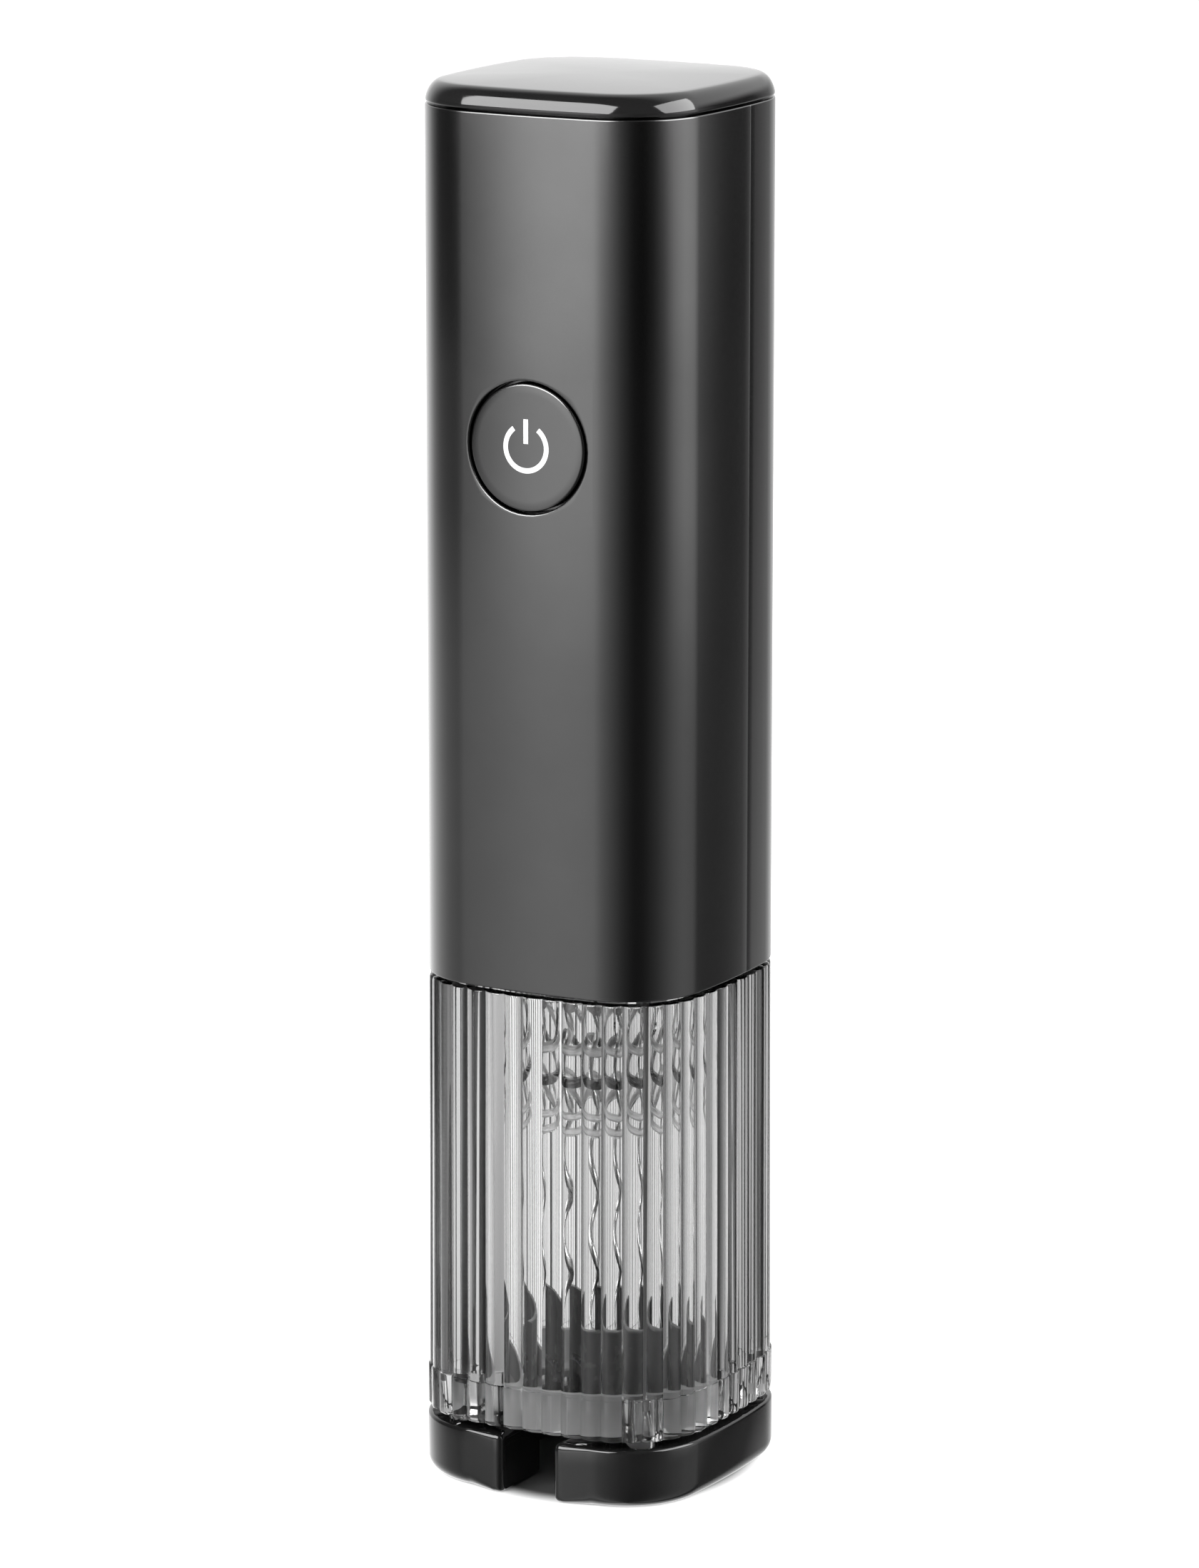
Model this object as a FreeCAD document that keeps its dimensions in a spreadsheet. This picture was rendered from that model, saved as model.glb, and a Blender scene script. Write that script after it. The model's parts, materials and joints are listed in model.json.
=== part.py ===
import FreeCAD, Part
import math
import os
import re
import Sketcher

# An electric wine opener that stands on its own foil cutter. Millimetres, +Z up.
# The origin is the centre of the footprint, on the surface it stands on.
# The front, with the button, faces -Y.

os.makedirs("parts", exist_ok=True)
doc = FreeCAD.newDocument("wine_opener")
Vector = FreeCAD.Vector
UP = Vector(0, 0, 1)

# ---------------------------------------------------------------- driving dimensions

DIMENSIONS = {
    # outline of the body, a square with bowed sides and round corners
    "width": 55,
    "side_bow": 145,
    "corner_round": 15.27,
    "corner_centre": 11.7,
    "wall": 2.2,
    # heights of the stack, from the surface up
    "base_top": 11.2,
    "collar_bottom": 12.5,
    "collar_top": 20.3,
    "chamber_top": 93.7,
    "body_bottom": 94.5,
    "plate_bottom": 97.5,
    "plate_top": 101,
    "body_top": 252.3,
    "cap_bottom": 252.7,
    "overall_height": 257,
    "cap_round": 3,
    "body_edge_round": 0.4,
    "split_y": 5,
    # foil cutter
    "base_grow": 0.6,
    "base_round": 2.6,
    "slot_width": 10.5,
    "lip_bore": 14.8,
    "tower_radius": 16.4,
    "tower_top": 30,
    "lip_stop": 16,
    "lip_stop_thick": 2,
    "lip_stop_hole": 10,
    "spine_half": 6,
    "spine_front": 15.6,
    "spine_gap": 0.8,
    "pin_x": 3.4,
    "pin_y": 21.5,
    "pin_radius": 1.25,
    "pin_fit": 0.05,
    "ear_radius": 2.8,
    "ear_bottom": 4,
    "ear_top": 7.6,
    "ear_gap": 0.35,
    "wheel_radius": 4.5,
    "wheel_thick": 1,
    "wheel_height": 7.5,
    "wheel_orbit": 17.9,
    "wheel_slot_radius": 5.2,
    "wheel_slot": 1.9,
    "axle_radius": 1,
    # chamber
    "flute_count": 48,
    "flute_depth": 0.65,
    "collar_grow": 0.55,
    "chamber_bore": 24,
    "screw_spot": 18.7,
    "screw_channel": 2.6,
    "screw_head": 2.2,
    "screw_head_top": 20,
    "screw_head_tall": 2.6,
    "screw_radius": 1.25,
    "guide_bore": 17,
    "guide_top": 20,
    "guide_wall": 1.5,
    "guide_floor": 2,
    "flange_hole": 19.5,
    "flange_step": 95.5,
    "cork_flange": 21.8,
    "cork_inner": 11,
    "cork_outer": 12.3,
    "cork_bottom": 64,
    "cork_cup_top": 80,
    "cork_window_top": 92,
    "cork_rim": 0.8,
    # button
    "button_height": 193.5,
    "button_radius": 11.45,
    "button_gap": 0.45,
    # worm
    "worm_pitch": 14.3,
    "worm_orbit": 3.1,
    "worm_wire": 1.45,
    "worm_tip": 27,
    "worm_taper": 9,
    "hub_bottom": 84,
    "hub_bore": 4.65,
    "hub_radius": 7,
    # planetary gears
    "module": 0.6,
    "sun_teeth": 9,
    "planet_teeth": 21,
    "ring_teeth": 51,
    "pressure_angle": 25,
    "addendum": 0.8,
    "dedendum": 1.1,
    "backlash": 0.1,
    "gearbox_radius": 19.5,
    "planet_pin": 1.25,
    "planet_bore": 1.3,
    "output_carrier_bottom": 104.8,
    "output_carrier_top": 108,
    "output_gears_bottom": 108.4,
    "output_gears_top": 114.4,
    "first_carrier_bottom": 115.2,
    "first_carrier_top": 117.8,
    "first_gears_bottom": 118.2,
    "first_gears_top": 123.2,
    "carrier_radius": 12.5,
    "small_screw": 0.95,
    "small_screw_head": 1.9,
    "small_screw_orbit": 17.75,
    # drive stack
    "ring_bottom": 104,
    "ring_top": 128.5,
    "motor_plate_top": 130.5,
    "motor_radius": 13.85,
    "motor_top": 168.5,
    "shaft_radius": 1.15,
    "frame_floor": 177,
    "frame_top": 249,
    "cell_radius": 9.2,
    "cell_length": 49.5,
    "cell_x": 9.6,
    "cell_y": 9.6,
    "cell_bottom": 180.6,
}

# Screws and terminals that stand in pairs or fours, as (x, z) where both matter.
FRAME_SCREWS = (-22.8, 22.8)
MOTOR_SCREWS = (-8, 8)
TERMINALS = (-9, 9)
BOARD_SCREWS = [(x, z) for x in (-14, 14) for z in (178.5, 209)]
SHELL_SCREWS = [(x, z) for x in (-22.2, 22.2) for z in (184, 244.5)]

sheet = doc.addObject("Spreadsheet::Sheet", "dims")
for row, (alias, amount) in enumerate(DIMENSIONS.items(), start=1):
    sheet.set(f"A{row}", alias)
    sheet.set(f"B{row}", str(amount))
    sheet.setAlias(f"B{row}", alias)
doc.recompute()


def dim(alias):
    """A driving dimension, read from the sheet."""
    return float(sheet.get(alias))


def in_sheet(text):
    """An expression with each alias written as its cell in the sheet."""
    return re.sub(r"[a-z_]{3,}", lambda word: "dims." + word[0], str(text))


def number(text):
    """The value of such an expression, for the first state of a sketch."""
    plain = re.sub(r"[a-z_]{3,}", lambda word: f"({dim(word[0])})", str(text))
    return FreeCAD.Units.Quantity(f"({plain}) * 1").Value


def bind(thing, path, text):
    thing.setExpression(path, in_sheet(text))


# ---------------------------------------------------------------- building blocks

count = 0


def unique(word):
    """A fresh internal name for a helper object."""
    global count
    count += 1
    return f"{word}_{count}"


def move(thing, x=0, y=0, z=0):
    for axis, text in zip("xyz", (x, y, z)):
        bind(thing, f"Placement.Base.{axis}", text)
    return thing


def cylinder(radius, bottom, top, x=0, y=0):
    """An upright cylinder between two heights."""
    made = doc.addObject("Part::Cylinder", unique("cylinder"))
    bind(made, "Radius", radius)
    bind(made, "Height", f"({top}) - ({bottom})")
    return move(made, x, y, bottom)


def cone(lower, upper, bottom, top, x=0, y=0):
    made = doc.addObject("Part::Cone", unique("cone"))
    bind(made, "Radius1", lower)
    bind(made, "Radius2", upper)
    bind(made, "Height", f"({top}) - ({bottom})")
    return move(made, x, y, bottom)


def rod(radius, front, back, x=0, z=0):
    """A cylinder lying along Y, from front to back."""
    made = doc.addObject("Part::Cylinder", unique("rod"))
    bind(made, "Radius", radius)
    bind(made, "Height", f"({back}) - ({front})")
    made.Placement.Rotation = FreeCAD.Rotation(Vector(1, 0, 0), -90)
    return move(made, x, front, z)


def box(x0, x1, y0, y1, z0, z1):
    made = doc.addObject("Part::Box", unique("box"))
    bind(made, "Length", f"({x1}) - ({x0})")
    bind(made, "Width", f"({y1}) - ({y0})")
    bind(made, "Height", f"({z1}) - ({z0})")
    return move(made, x0, y0, z0)


def joined(*things):
    if len(things) == 1:
        return things[0]
    made = doc.addObject("Part::MultiFuse", unique("fuse"))
    made.Shapes = list(things)
    return made


def cut(base, *tools):
    made = doc.addObject("Part::Cut", unique("cut"))
    made.Base = base
    made.Tool = joined(*tools)
    return made


def shared(*things):
    made = doc.addObject("Part::MultiCommon", unique("common"))
    made.Shapes = list(things)
    return made


def turned(thing, angle):
    """A thing turned about the Z axis."""
    made = doc.addObject("Part::Compound", unique("turned"))
    made.Links = [thing]
    made.Placement = FreeCAD.Placement(Vector(), FreeCAD.Rotation(UP, angle))
    return made


def mirrored(thing):
    """A copy of a thing, mirrored from one side of the X = 0 plane to the other."""
    made = doc.addObject("Part::Mirroring", unique("mirror"))
    made.Source = thing
    made.Base = Vector()
    made.Normal = Vector(1, 0, 0)
    return made


def tube(outer, inner, bottom, top, x=0, y=0):
    return cut(cylinder(outer, bottom, top, x, y), cylinder(inner, bottom, top, x, y))


def group(*things):
    """Separate identical solids that share one node."""
    made = doc.addObject("Part::Compound", unique("group"))
    made.Links = list(things)
    return made


def edges_at(shape, height, least=0):
    """Numbers of the edges that lie flat at a height."""
    return [
        n
        for n, edge in enumerate(shape.Edges, start=1)
        if abs(edge.BoundBox.ZMin - height) < 1e-4
        and abs(edge.BoundBox.ZMax - height) < 1e-4
        and edge.Length > least
    ]


def rounded(base, height, radius, least=0):
    """Fillet the flat edges at a height."""
    doc.recompute()
    made = doc.addObject("Part::Fillet", unique("round"))
    made.Base = base
    size = number(radius)
    made.Edges = [(n, size, size) for n in edges_at(base.Shape, number(height), least)]
    return made


# ---------------------------------------------------------------- outline sketches


def origin_plane(body, role="XY_Plane"):
    return next(f for f in body.Origin.OriginFeatures if f.Role == role)


def new_sketch(body, height):
    sketch = body.newObject("Sketcher::SketchObject", unique("sketch"))
    sketch.AttachmentSupport = (origin_plane(body), [""])
    sketch.MapMode = "FlatFace"
    bind(sketch, "AttachmentOffset.Base.z", height)
    return sketch


def padded(body, sketch, length):
    pad = body.newObject("PartDesign::Pad", unique("pad"))
    pad.Profile = sketch
    bind(pad, "Length", length)
    return body


def arc(centre, radius, start, end):
    circle = Part.Circle(Vector(*centre, 0), UP, radius)
    return Part.ArcOfCircle(circle, start, end)


def side_centre():
    return dim("side_bow") - dim("width") / 2


def corner_angle():
    """Where a side's arc meets a corner's arc, seen from the corner's centre."""
    c = dim("corner_centre")
    return math.atan2(c, c + side_centre())


def draw_outline(sketch, grow):
    """The bowed square, set out from the body's own outline by grow."""
    extra = number(grow)
    bow = dim("side_bow") + extra
    corner = dim("corner_round") + extra
    c = dim("corner_centre")
    tilt = corner_angle()
    for quarter in range(4):
        turn = quarter * math.pi / 2
        away = (-side_centre() * math.cos(turn), -side_centre() * math.sin(turn))
        at = (c * (math.cos(turn) - math.sin(turn)), c * (math.sin(turn) + math.cos(turn)))
        sketch.addGeometry(arc(away, bow, turn - tilt, turn + tilt))
        sketch.addGeometry(arc(at, corner, turn + tilt, turn + math.pi / 2 - tilt))
    for n in range(8):
        sketch.addConstraint(Sketcher.Constraint("Tangent", n, 2, (n + 1) % 8, 1))
    for n in range(0, 8, 2):
        axis = -1 if n % 4 == 0 else -2
        sketch.addConstraint(Sketcher.Constraint("PointOnObject", n, 3, axis))
        name = Sketcher.Constraint("Radius", n, bow)
        sketch.setExpression(
            f"Constraints[{sketch.addConstraint(name)}]", in_sheet(f"side_bow + ({grow})")
        )


def outline_prism(grow, bottom, top):
    """A prism with the bowed square outline."""
    body = doc.addObject("PartDesign::Body", unique("prism"))
    sketch = new_sketch(body, bottom)
    draw_outline(sketch, grow)
    return padded(body, sketch, f"({top}) - ({bottom})")


def outline_point(share, grow):
    """The point at a share of the way round the bowed square, set out by grow."""
    bow = dim("side_bow") + grow
    corner = dim("corner_round") + grow
    c = dim("corner_centre")
    tilt = corner_angle()
    side = 2 * tilt * bow
    turn_in = (math.pi / 2 - 2 * tilt) * corner
    quarter, rest = divmod(share * 4, 1)
    along = rest * (side + turn_in)
    if along < side:
        angle = along / bow - tilt
        x = -side_centre() + bow * math.cos(angle)
        y = bow * math.sin(angle)
    else:
        angle = tilt + (along - side) / corner
        x = c + corner * math.cos(angle)
        y = c + corner * math.sin(angle)
    return FreeCAD.Rotation(UP, 90 * quarter).multVec(Vector(x, y, 0))


def draw_flutes(sketch, grow):
    """Convex ribs side by side round the outline."""
    flutes = int(dim("flute_count"))
    valley = grow - dim("flute_depth")
    for n in range(flutes):
        start = outline_point(n / flutes, valley)
        crest = outline_point((n + 0.5) / flutes, grow)
        end = outline_point((n + 1) / flutes, valley)
        sketch.addGeometry(Part.Arc(start, crest, end))


def fluted_prism(lower_grow, upper_grow, bottom, top):
    body = doc.addObject("PartDesign::Body", unique("fluted"))
    lower = new_sketch(body, bottom)
    draw_flutes(lower, lower_grow)
    if lower_grow == upper_grow:
        return padded(body, lower, f"({top}) - ({bottom})")
    upper = new_sketch(body, top)
    draw_flutes(upper, upper_grow)
    loft = body.newObject("PartDesign::AdditiveLoft", unique("loft"))
    loft.Profile = lower
    loft.Sections = [upper]
    loft.Ruled = True
    return body


# ---------------------------------------------------------------- gears


def flank_angle(radius, teeth, inner):
    """Half the angle of a tooth at a radius, for an involute with some backlash."""
    pitch = dim("module") * teeth / 2
    pressure = math.radians(dim("pressure_angle"))
    base = pitch * math.cos(pressure)
    at = math.acos(min(1, base / radius))
    swing = (math.tan(pressure) - pressure) - (math.tan(at) - at)
    play = dim("backlash") / 2 / pitch
    return math.pi / 2 / teeth + (-swing if inner else swing) - play


def draw_gear(sketch, teeth, inner=False):
    """Straight-sided teeth through three points of each involute flank."""
    pitch = dim("module") * teeth / 2
    tip = dim("addendum") * dim("module")
    root = dim("dedendum") * dim("module")
    radii = (pitch + root, pitch, pitch - tip) if inner else (pitch - root, pitch, pitch + tip)
    first = math.pi / teeth if inner else 0
    points = []
    for tooth in range(int(teeth)):
        middle = first + 2 * math.pi * tooth / teeth
        rising = [(r, middle - flank_angle(r, teeth, inner)) for r in radii]
        falling = [(r, middle + flank_angle(r, teeth, inner)) for r in reversed(radii)]
        points += rising + falling
    corners = [Vector(r * math.cos(a), r * math.sin(a), 0) for r, a in points]
    for here, there in zip(corners, corners[1:] + corners[:1]):
        sketch.addGeometry(Part.LineSegment(here, there))


def gear(teeth, bottom, top, bore=None, inner=False, rim=None):
    body = doc.addObject("PartDesign::Body", unique("gear"))
    sketch = new_sketch(body, bottom)
    draw_gear(sketch, teeth, inner)
    hole = bore or rim
    if hole:
        sketch.addGeometry(Part.Circle(Vector(), UP, number(hole)))
        circle = len(sketch.Geometry) - 1
        radius = sketch.addConstraint(Sketcher.Constraint("Radius", circle, number(hole)))
        sketch.setExpression(f"Constraints[{radius}]", in_sheet(hole))
    return padded(body, sketch, f"({top}) - ({bottom})")


# ---------------------------------------------------------------- sub-parts

parts = {}


def part(name, thing):
    """Name a finished sub-part after the node that it becomes."""
    thing.Label = name
    parts[name] = thing
    return thing


def foil_cutter():
    """Two jaws hinged on a spine: the opener stands on them."""
    block = rounded(outline_prism("base_grow", 0, "base_top"), 0, "base_round", 5)
    block = rounded(block, "base_top", 0.6, 5)
    tower = cylinder("tower_radius", 5, "tower_top")
    solid = joined(block, tower)
    hollow = joined(
        cylinder("lip_bore", -1, "lip_stop"),
        cylinder("lip_stop_hole", 0, "tower_top + 1"),
        cylinder("lip_bore", "lip_stop + lip_stop_thick", "tower_top + 1"),
        box("-slot_width / 2", "slot_width / 2", -40, 0, -1, "tower_top + 1"),
    )
    ring = cut(solid, hollow)
    spine_space = box("-spine_half", "spine_half", "spine_front", 40, -1, 40)
    ears = [("pin_x", "ear_bottom", "ear_top"), ("-pin_x", "ear_bottom", "ear_top")]
    ear_room = [
        cylinder("ear_radius + ear_gap", f"{low} - ear_gap", f"{high} + ear_gap", x, "pin_y")
        for x, low, high in ears
    ]
    ear_slots = [
        box("0.3", "spine_half + 1", "pin_y - ear_radius - ear_gap",
            "pin_y + ear_radius + ear_gap", "ear_bottom - ear_gap", "ear_top + ear_gap"),
        box("-spine_half - 1", "-0.3", "pin_y - ear_radius - ear_gap",
            "pin_y + ear_radius + ear_gap", "ear_bottom - ear_gap", "ear_top + ear_gap"),
    ]
    pins = [cylinder("pin_radius", 1, "base_top - 0.4", x, "pin_y") for x in ("pin_x", "-pin_x")]
    spine = shared(cut(block, cylinder("lip_bore", -1, 20)), spine_space)
    part("cutter_spine", cut(spine, *ear_slots, *pins))
    part("hinge_pins", group(*[
        cylinder("pin_radius", 1, "base_top - 0.4", x, "pin_y") for x in ("pin_x", "-pin_x")
    ]))
    leaf = cut(
        box("-spine_half - 0.4", "spine_half + 0.4", "spine_front - 0.5", "pin_y - 3.6", 3, 8),
        box("-spine_half - 0.1", "spine_half + 0.1", "spine_front - 0.2", "pin_y", 0, 12),
    )
    part("cutter_spring", leaf)

    beside_spine = box("spine_half + spine_gap", 40, -1, 40, -1, 40)
    beside_slot = box("slot_width / 2", 40, -40, 0, -1, 40)
    keep = joined(beside_slot, beside_spine)
    ear = joined(
        cylinder("ear_radius", "ear_bottom", "ear_top", "pin_x", "pin_y"),
        box("pin_x", "spine_half + spine_gap + 2", "pin_y - ear_radius", "pin_y + ear_radius",
            "ear_bottom", "ear_top"),
    )
    spots = [
        (f"wheel_orbit * {math.cos(math.radians(a)):.4f}",
         f"wheel_orbit * {math.sin(math.radians(a)):.4f}")
        for a in (-38, 27)
    ]
    wheel_room = [
        cylinder("wheel_slot_radius", "wheel_height - wheel_slot / 2",
                 "wheel_height + wheel_slot / 2", x, y)
        for x, y in spots
    ]
    axles = [cylinder("axle_radius", 3, "base_top - 0.3", x, y) for x, y in spots]
    half = shared(ring, keep)
    jaw = cut(joined(half, ear), cylinder("pin_radius + pin_fit", 0, 12, "pin_x", "pin_y"),
              *wheel_room, *axles)
    part("jaw_right", jaw)
    part("jaw_left", mirrored(jaw))
    axle_pair = group(*[cylinder("axle_radius", 3, "base_top - 0.3", x, y) for x, y in spots])
    part("wheel_axles_right", axle_pair)
    part("wheel_axles_left", mirrored(axle_pair))
    for n, (x, y) in enumerate(spots):
        rim = "wheel_height - wheel_thick / 2"
        edge = "wheel_radius - 0.9"
        wheel = cut(
            joined(cone(edge, "wheel_radius", rim, "wheel_height", x, y),
                   cone("wheel_radius", edge, "wheel_height", "wheel_height + wheel_thick / 2",
                        x, y)),
            cylinder("axle_radius + pin_fit", 0, 12, x, y),
        )
        part(f"cutting_wheel_right_{n + 1}", wheel)
        part(f"cutting_wheel_left_{n + 1}", mirrored(wheel))


def chamber_screw_spots():
    """Where the four long screws run up the corners of the chamber."""
    return [(x, y) for x in ("-screw_spot", "screw_spot") for y in ("-screw_spot", "screw_spot")]


def chamber():
    """The see-through fluted chamber, its collar, and what is fixed in it."""
    grow = dim("collar_grow")
    collar = fluted_prism(grow, grow, "collar_bottom", "collar_top")
    flutes = fluted_prism(grow - 0.25, 0, "collar_top", "chamber_top")
    neck = outline_prism("-wall - 0.15", "chamber_top", "plate_bottom")
    corners = chamber_screw_spots()
    inside = joined(
        cylinder("chamber_bore", "collar_bottom", "chamber_top - 0.2"),
        *[cylinder("screw_channel", "collar_bottom", "screw_head_top", x, y)
          for x, y in corners],
    )
    holes = [cylinder("screw_radius", "collar_bottom", "plate_top - 0.5", x, y)
             for x, y in corners]
    shell = cut(
        joined(collar, flutes, neck),
        inside,
        cylinder("flange_hole", 90, 100),
        cylinder("cork_flange", "flange_step", 100),
        *holes,
    )
    part("chamber", shell)
    screws = [
        joined(cylinder("screw_radius", "screw_head_top", "plate_top - 0.5", x, y),
               cylinder("screw_head", "screw_head_top - screw_head_tall", "screw_head_top", x, y))
        for x, y in corners
    ]
    part("chamber_screws", group(*screws))
    part("neck_guide_ring", cut(
        cylinder("chamber_bore", "collar_bottom + 0.1", "guide_top"),
        cylinder("guide_bore", 0, 30),
        cylinder("chamber_bore - guide_wall", "collar_bottom + guide_floor", 30),
        cone("guide_bore + 1.5", "guide_bore", "collar_bottom + 0.1", "collar_bottom + 1.6"),
    ))
    windows = [
        turned(box("cork_inner - 3", "cork_outer + 3", -8, 8, "cork_cup_top",
                   "cork_window_top"), angle)
        for angle in (30, 150, 270)
    ]
    rims = [
        ("cork_bottom", "cork_bottom + 1.2"),
        ("cork_bottom + 2.8", "cork_bottom + 3.8"),
        ("cork_bottom + 7.6", "cork_bottom + 9.2"),
        ("cork_cup_top - 1.2", "cork_cup_top"),
    ]
    sleeve = joined(
        cylinder("cork_outer", "cork_bottom", "flange_step + 1"),
        *[cylinder("cork_outer + cork_rim", *rim) for rim in rims],
        cylinder("cork_flange - 0.1", "flange_step", "plate_bottom"),
    )
    part("cork_guide", cut(sleeve, cylinder("cork_inner", 0, 100), *windows))


def worm_drive():
    """The worm in its hub, on the spindle of the last carrier."""
    top = number("hub_bottom + 8.4")
    taper_top = number("worm_tip + worm_taper")
    orbit = dim("worm_orbit")
    pitch = dim("worm_pitch")
    wire = dim("worm_wire")

    def helix(bottom, height):
        spine = Part.makeHelix(pitch, height, orbit)
        spine.rotate(Vector(), UP, 360 * bottom / pitch)
        spine.translate(Vector(0, 0, bottom))
        return spine

    def section(spine, at, radius):
        edge = spine.Edges[0] if at == 0 else spine.Edges[-1]
        where = edge.FirstParameter if at == 0 else edge.LastParameter
        disc = Part.Circle(edge.valueAt(where), edge.tangentAt(where), radius)
        return Part.Wire([disc.toShape()])

    spine = helix(taper_top, top - taper_top)
    rod_shape = Part.Wire(spine.Edges).makePipeShell([section(spine, 0, wire)], True, True)
    point = helix(dim("worm_tip"), taper_top - dim("worm_tip"))
    sweep = Part.BRepOffsetAPI.MakePipeShell(Part.Wire(point.Edges))
    sweep.setFrenetMode(True)
    sweep.add(section(point, 0, 0.15), False, False)
    sweep.add(section(point, 1, wire), False, False)
    sweep.build()
    sweep.makeSolid()
    worm = doc.addObject("Part::Feature", unique("worm"))
    worm.Shape = rod_shape.fuse(sweep.shape()).removeSplitter()
    worm.Placement = FreeCAD.Placement()
    part("worm", worm)

    hub = joined(
        cylinder("hub_radius", "hub_bottom + 1", "hub_bottom + 12"),
        cone("hub_radius - 1", "hub_radius", "hub_bottom", "hub_bottom + 1"),
    )
    grub = rod(1, "-hub_radius + 0.2", "-hub_bore + 0.2", 0, "hub_bottom + 6")
    part("worm_hub", cut(hub, cylinder("hub_bore", 80, "hub_bottom + 10"), grub))
    part("worm_set_screw", rod(1, "-hub_radius + 0.2", "-hub_bore + 0.2", 0, "hub_bottom + 6"))
    part("output_spindle", joined(
        cylinder(4, "hub_bottom + 12", "ring_bottom + 0.8"),
        cylinder(5.5, "plate_top - 2.2", "plate_top - 0.7"),
    ))


PLANET_ANGLES = (0, 120, 240)


def gear_stage(stage, carrier_bottom, carrier_top, gear_bottom, gear_top):
    """Three planets on the pins of a carrier."""
    distance = "module * (sun_teeth + planet_teeth) / 2"
    spots = [
        (f"{distance} * ({math.cos(math.radians(a)):.9f})",
         f"{distance} * ({math.sin(math.radians(a)):.9f})")
        for a in PLANET_ANGLES
    ]
    pins = [cylinder("planet_pin", carrier_bottom, f"{gear_top} + 0.4", x, y) for x, y in spots]
    part(f"planet_pins_{stage}", group(*pins))
    for letter, angle, (x, y) in zip("abc", PLANET_ANGLES, spots):
        planet = gear(dim("planet_teeth"), gear_bottom, gear_top, bore="planet_bore")
        planet.Placement = FreeCAD.Placement(Vector(), FreeCAD.Rotation(UP, angle))
        part(f"planet_gear_{stage}{letter}", move(planet, x, y, 0))
    holes = [cylinder("planet_pin", carrier_bottom, carrier_top, x, y) for x, y in spots]
    return cut(cylinder("carrier_radius", carrier_bottom, carrier_top), *holes)


def gearbox():
    """Two planetary stages in one ring gear."""
    first = gear_stage(1, "first_carrier_bottom", "first_carrier_top",
                       "first_gears_bottom", "first_gears_top")
    second_sun = gear(dim("sun_teeth"), "output_gears_bottom + 0.2", "first_carrier_bottom")
    part("first_carrier", joined(first, second_sun))
    part("second_carrier", gear_stage(2, "output_carrier_bottom", "output_carrier_top",
                                      "output_gears_bottom", "output_gears_top"))
    orbit = dim("small_screw_orbit")
    spots = [(orbit * math.cos(math.radians(a)), orbit * math.sin(math.radians(a)))
             for a in (60, 180, 300)]
    holes = [cylinder("small_screw", 90, "ring_bottom + 8", x, y) for x, y in spots]
    ring = gear(dim("ring_teeth"), "ring_bottom", "ring_top", inner=True, rim="gearbox_radius")
    part("ring_gear", cut(ring, *holes))
    part("gearbox_cover", cut(
        cylinder("gearbox_radius", "plate_top", "ring_bottom"),
        cylinder(6.5, 90, 110),
        *[cylinder("small_screw", 90, "ring_bottom + 8", x, y) for x, y in spots],
    ))
    part("spindle_bearing", cut(
        cylinder(6.5, "plate_top", "ring_bottom + 0.3"),
        cylinder(4.05, 90, 110),
    ))
    screws = [
        joined(cylinder("small_screw", "plate_bottom + 1", "ring_bottom + 8", x, y),
               cylinder("small_screw_head", "plate_bottom", "plate_bottom + 1.5", x, y))
        for x, y in spots
    ]
    part("gearbox_screws", group(*screws))
    return spots


def base_plate(gearbox_spots):
    """The plate that carries the chamber below and the drive above."""
    holes = [cylinder("screw_radius", 90, "plate_top - 0.5", x, y)
             for x, y in chamber_screw_spots()]
    holes += [cylinder("small_screw", 90, 110, x, y) for x, y in gearbox_spots]
    holes += [cylinder("small_screw_head", 90, "plate_bottom + 1.5", x, y)
              for x, y in gearbox_spots]
    holes += [cylinder("screw_radius", 90, "plate_top + 1", x, 0) for x in FRAME_SCREWS]
    part("base_plate", cut(
        outline_prism("-wall - 0.1", "plate_bottom", "plate_top"),
        cylinder(7.5, 90, 98.5),
        cylinder(6.2, 90, 110),
        *holes,
    ))


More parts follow.
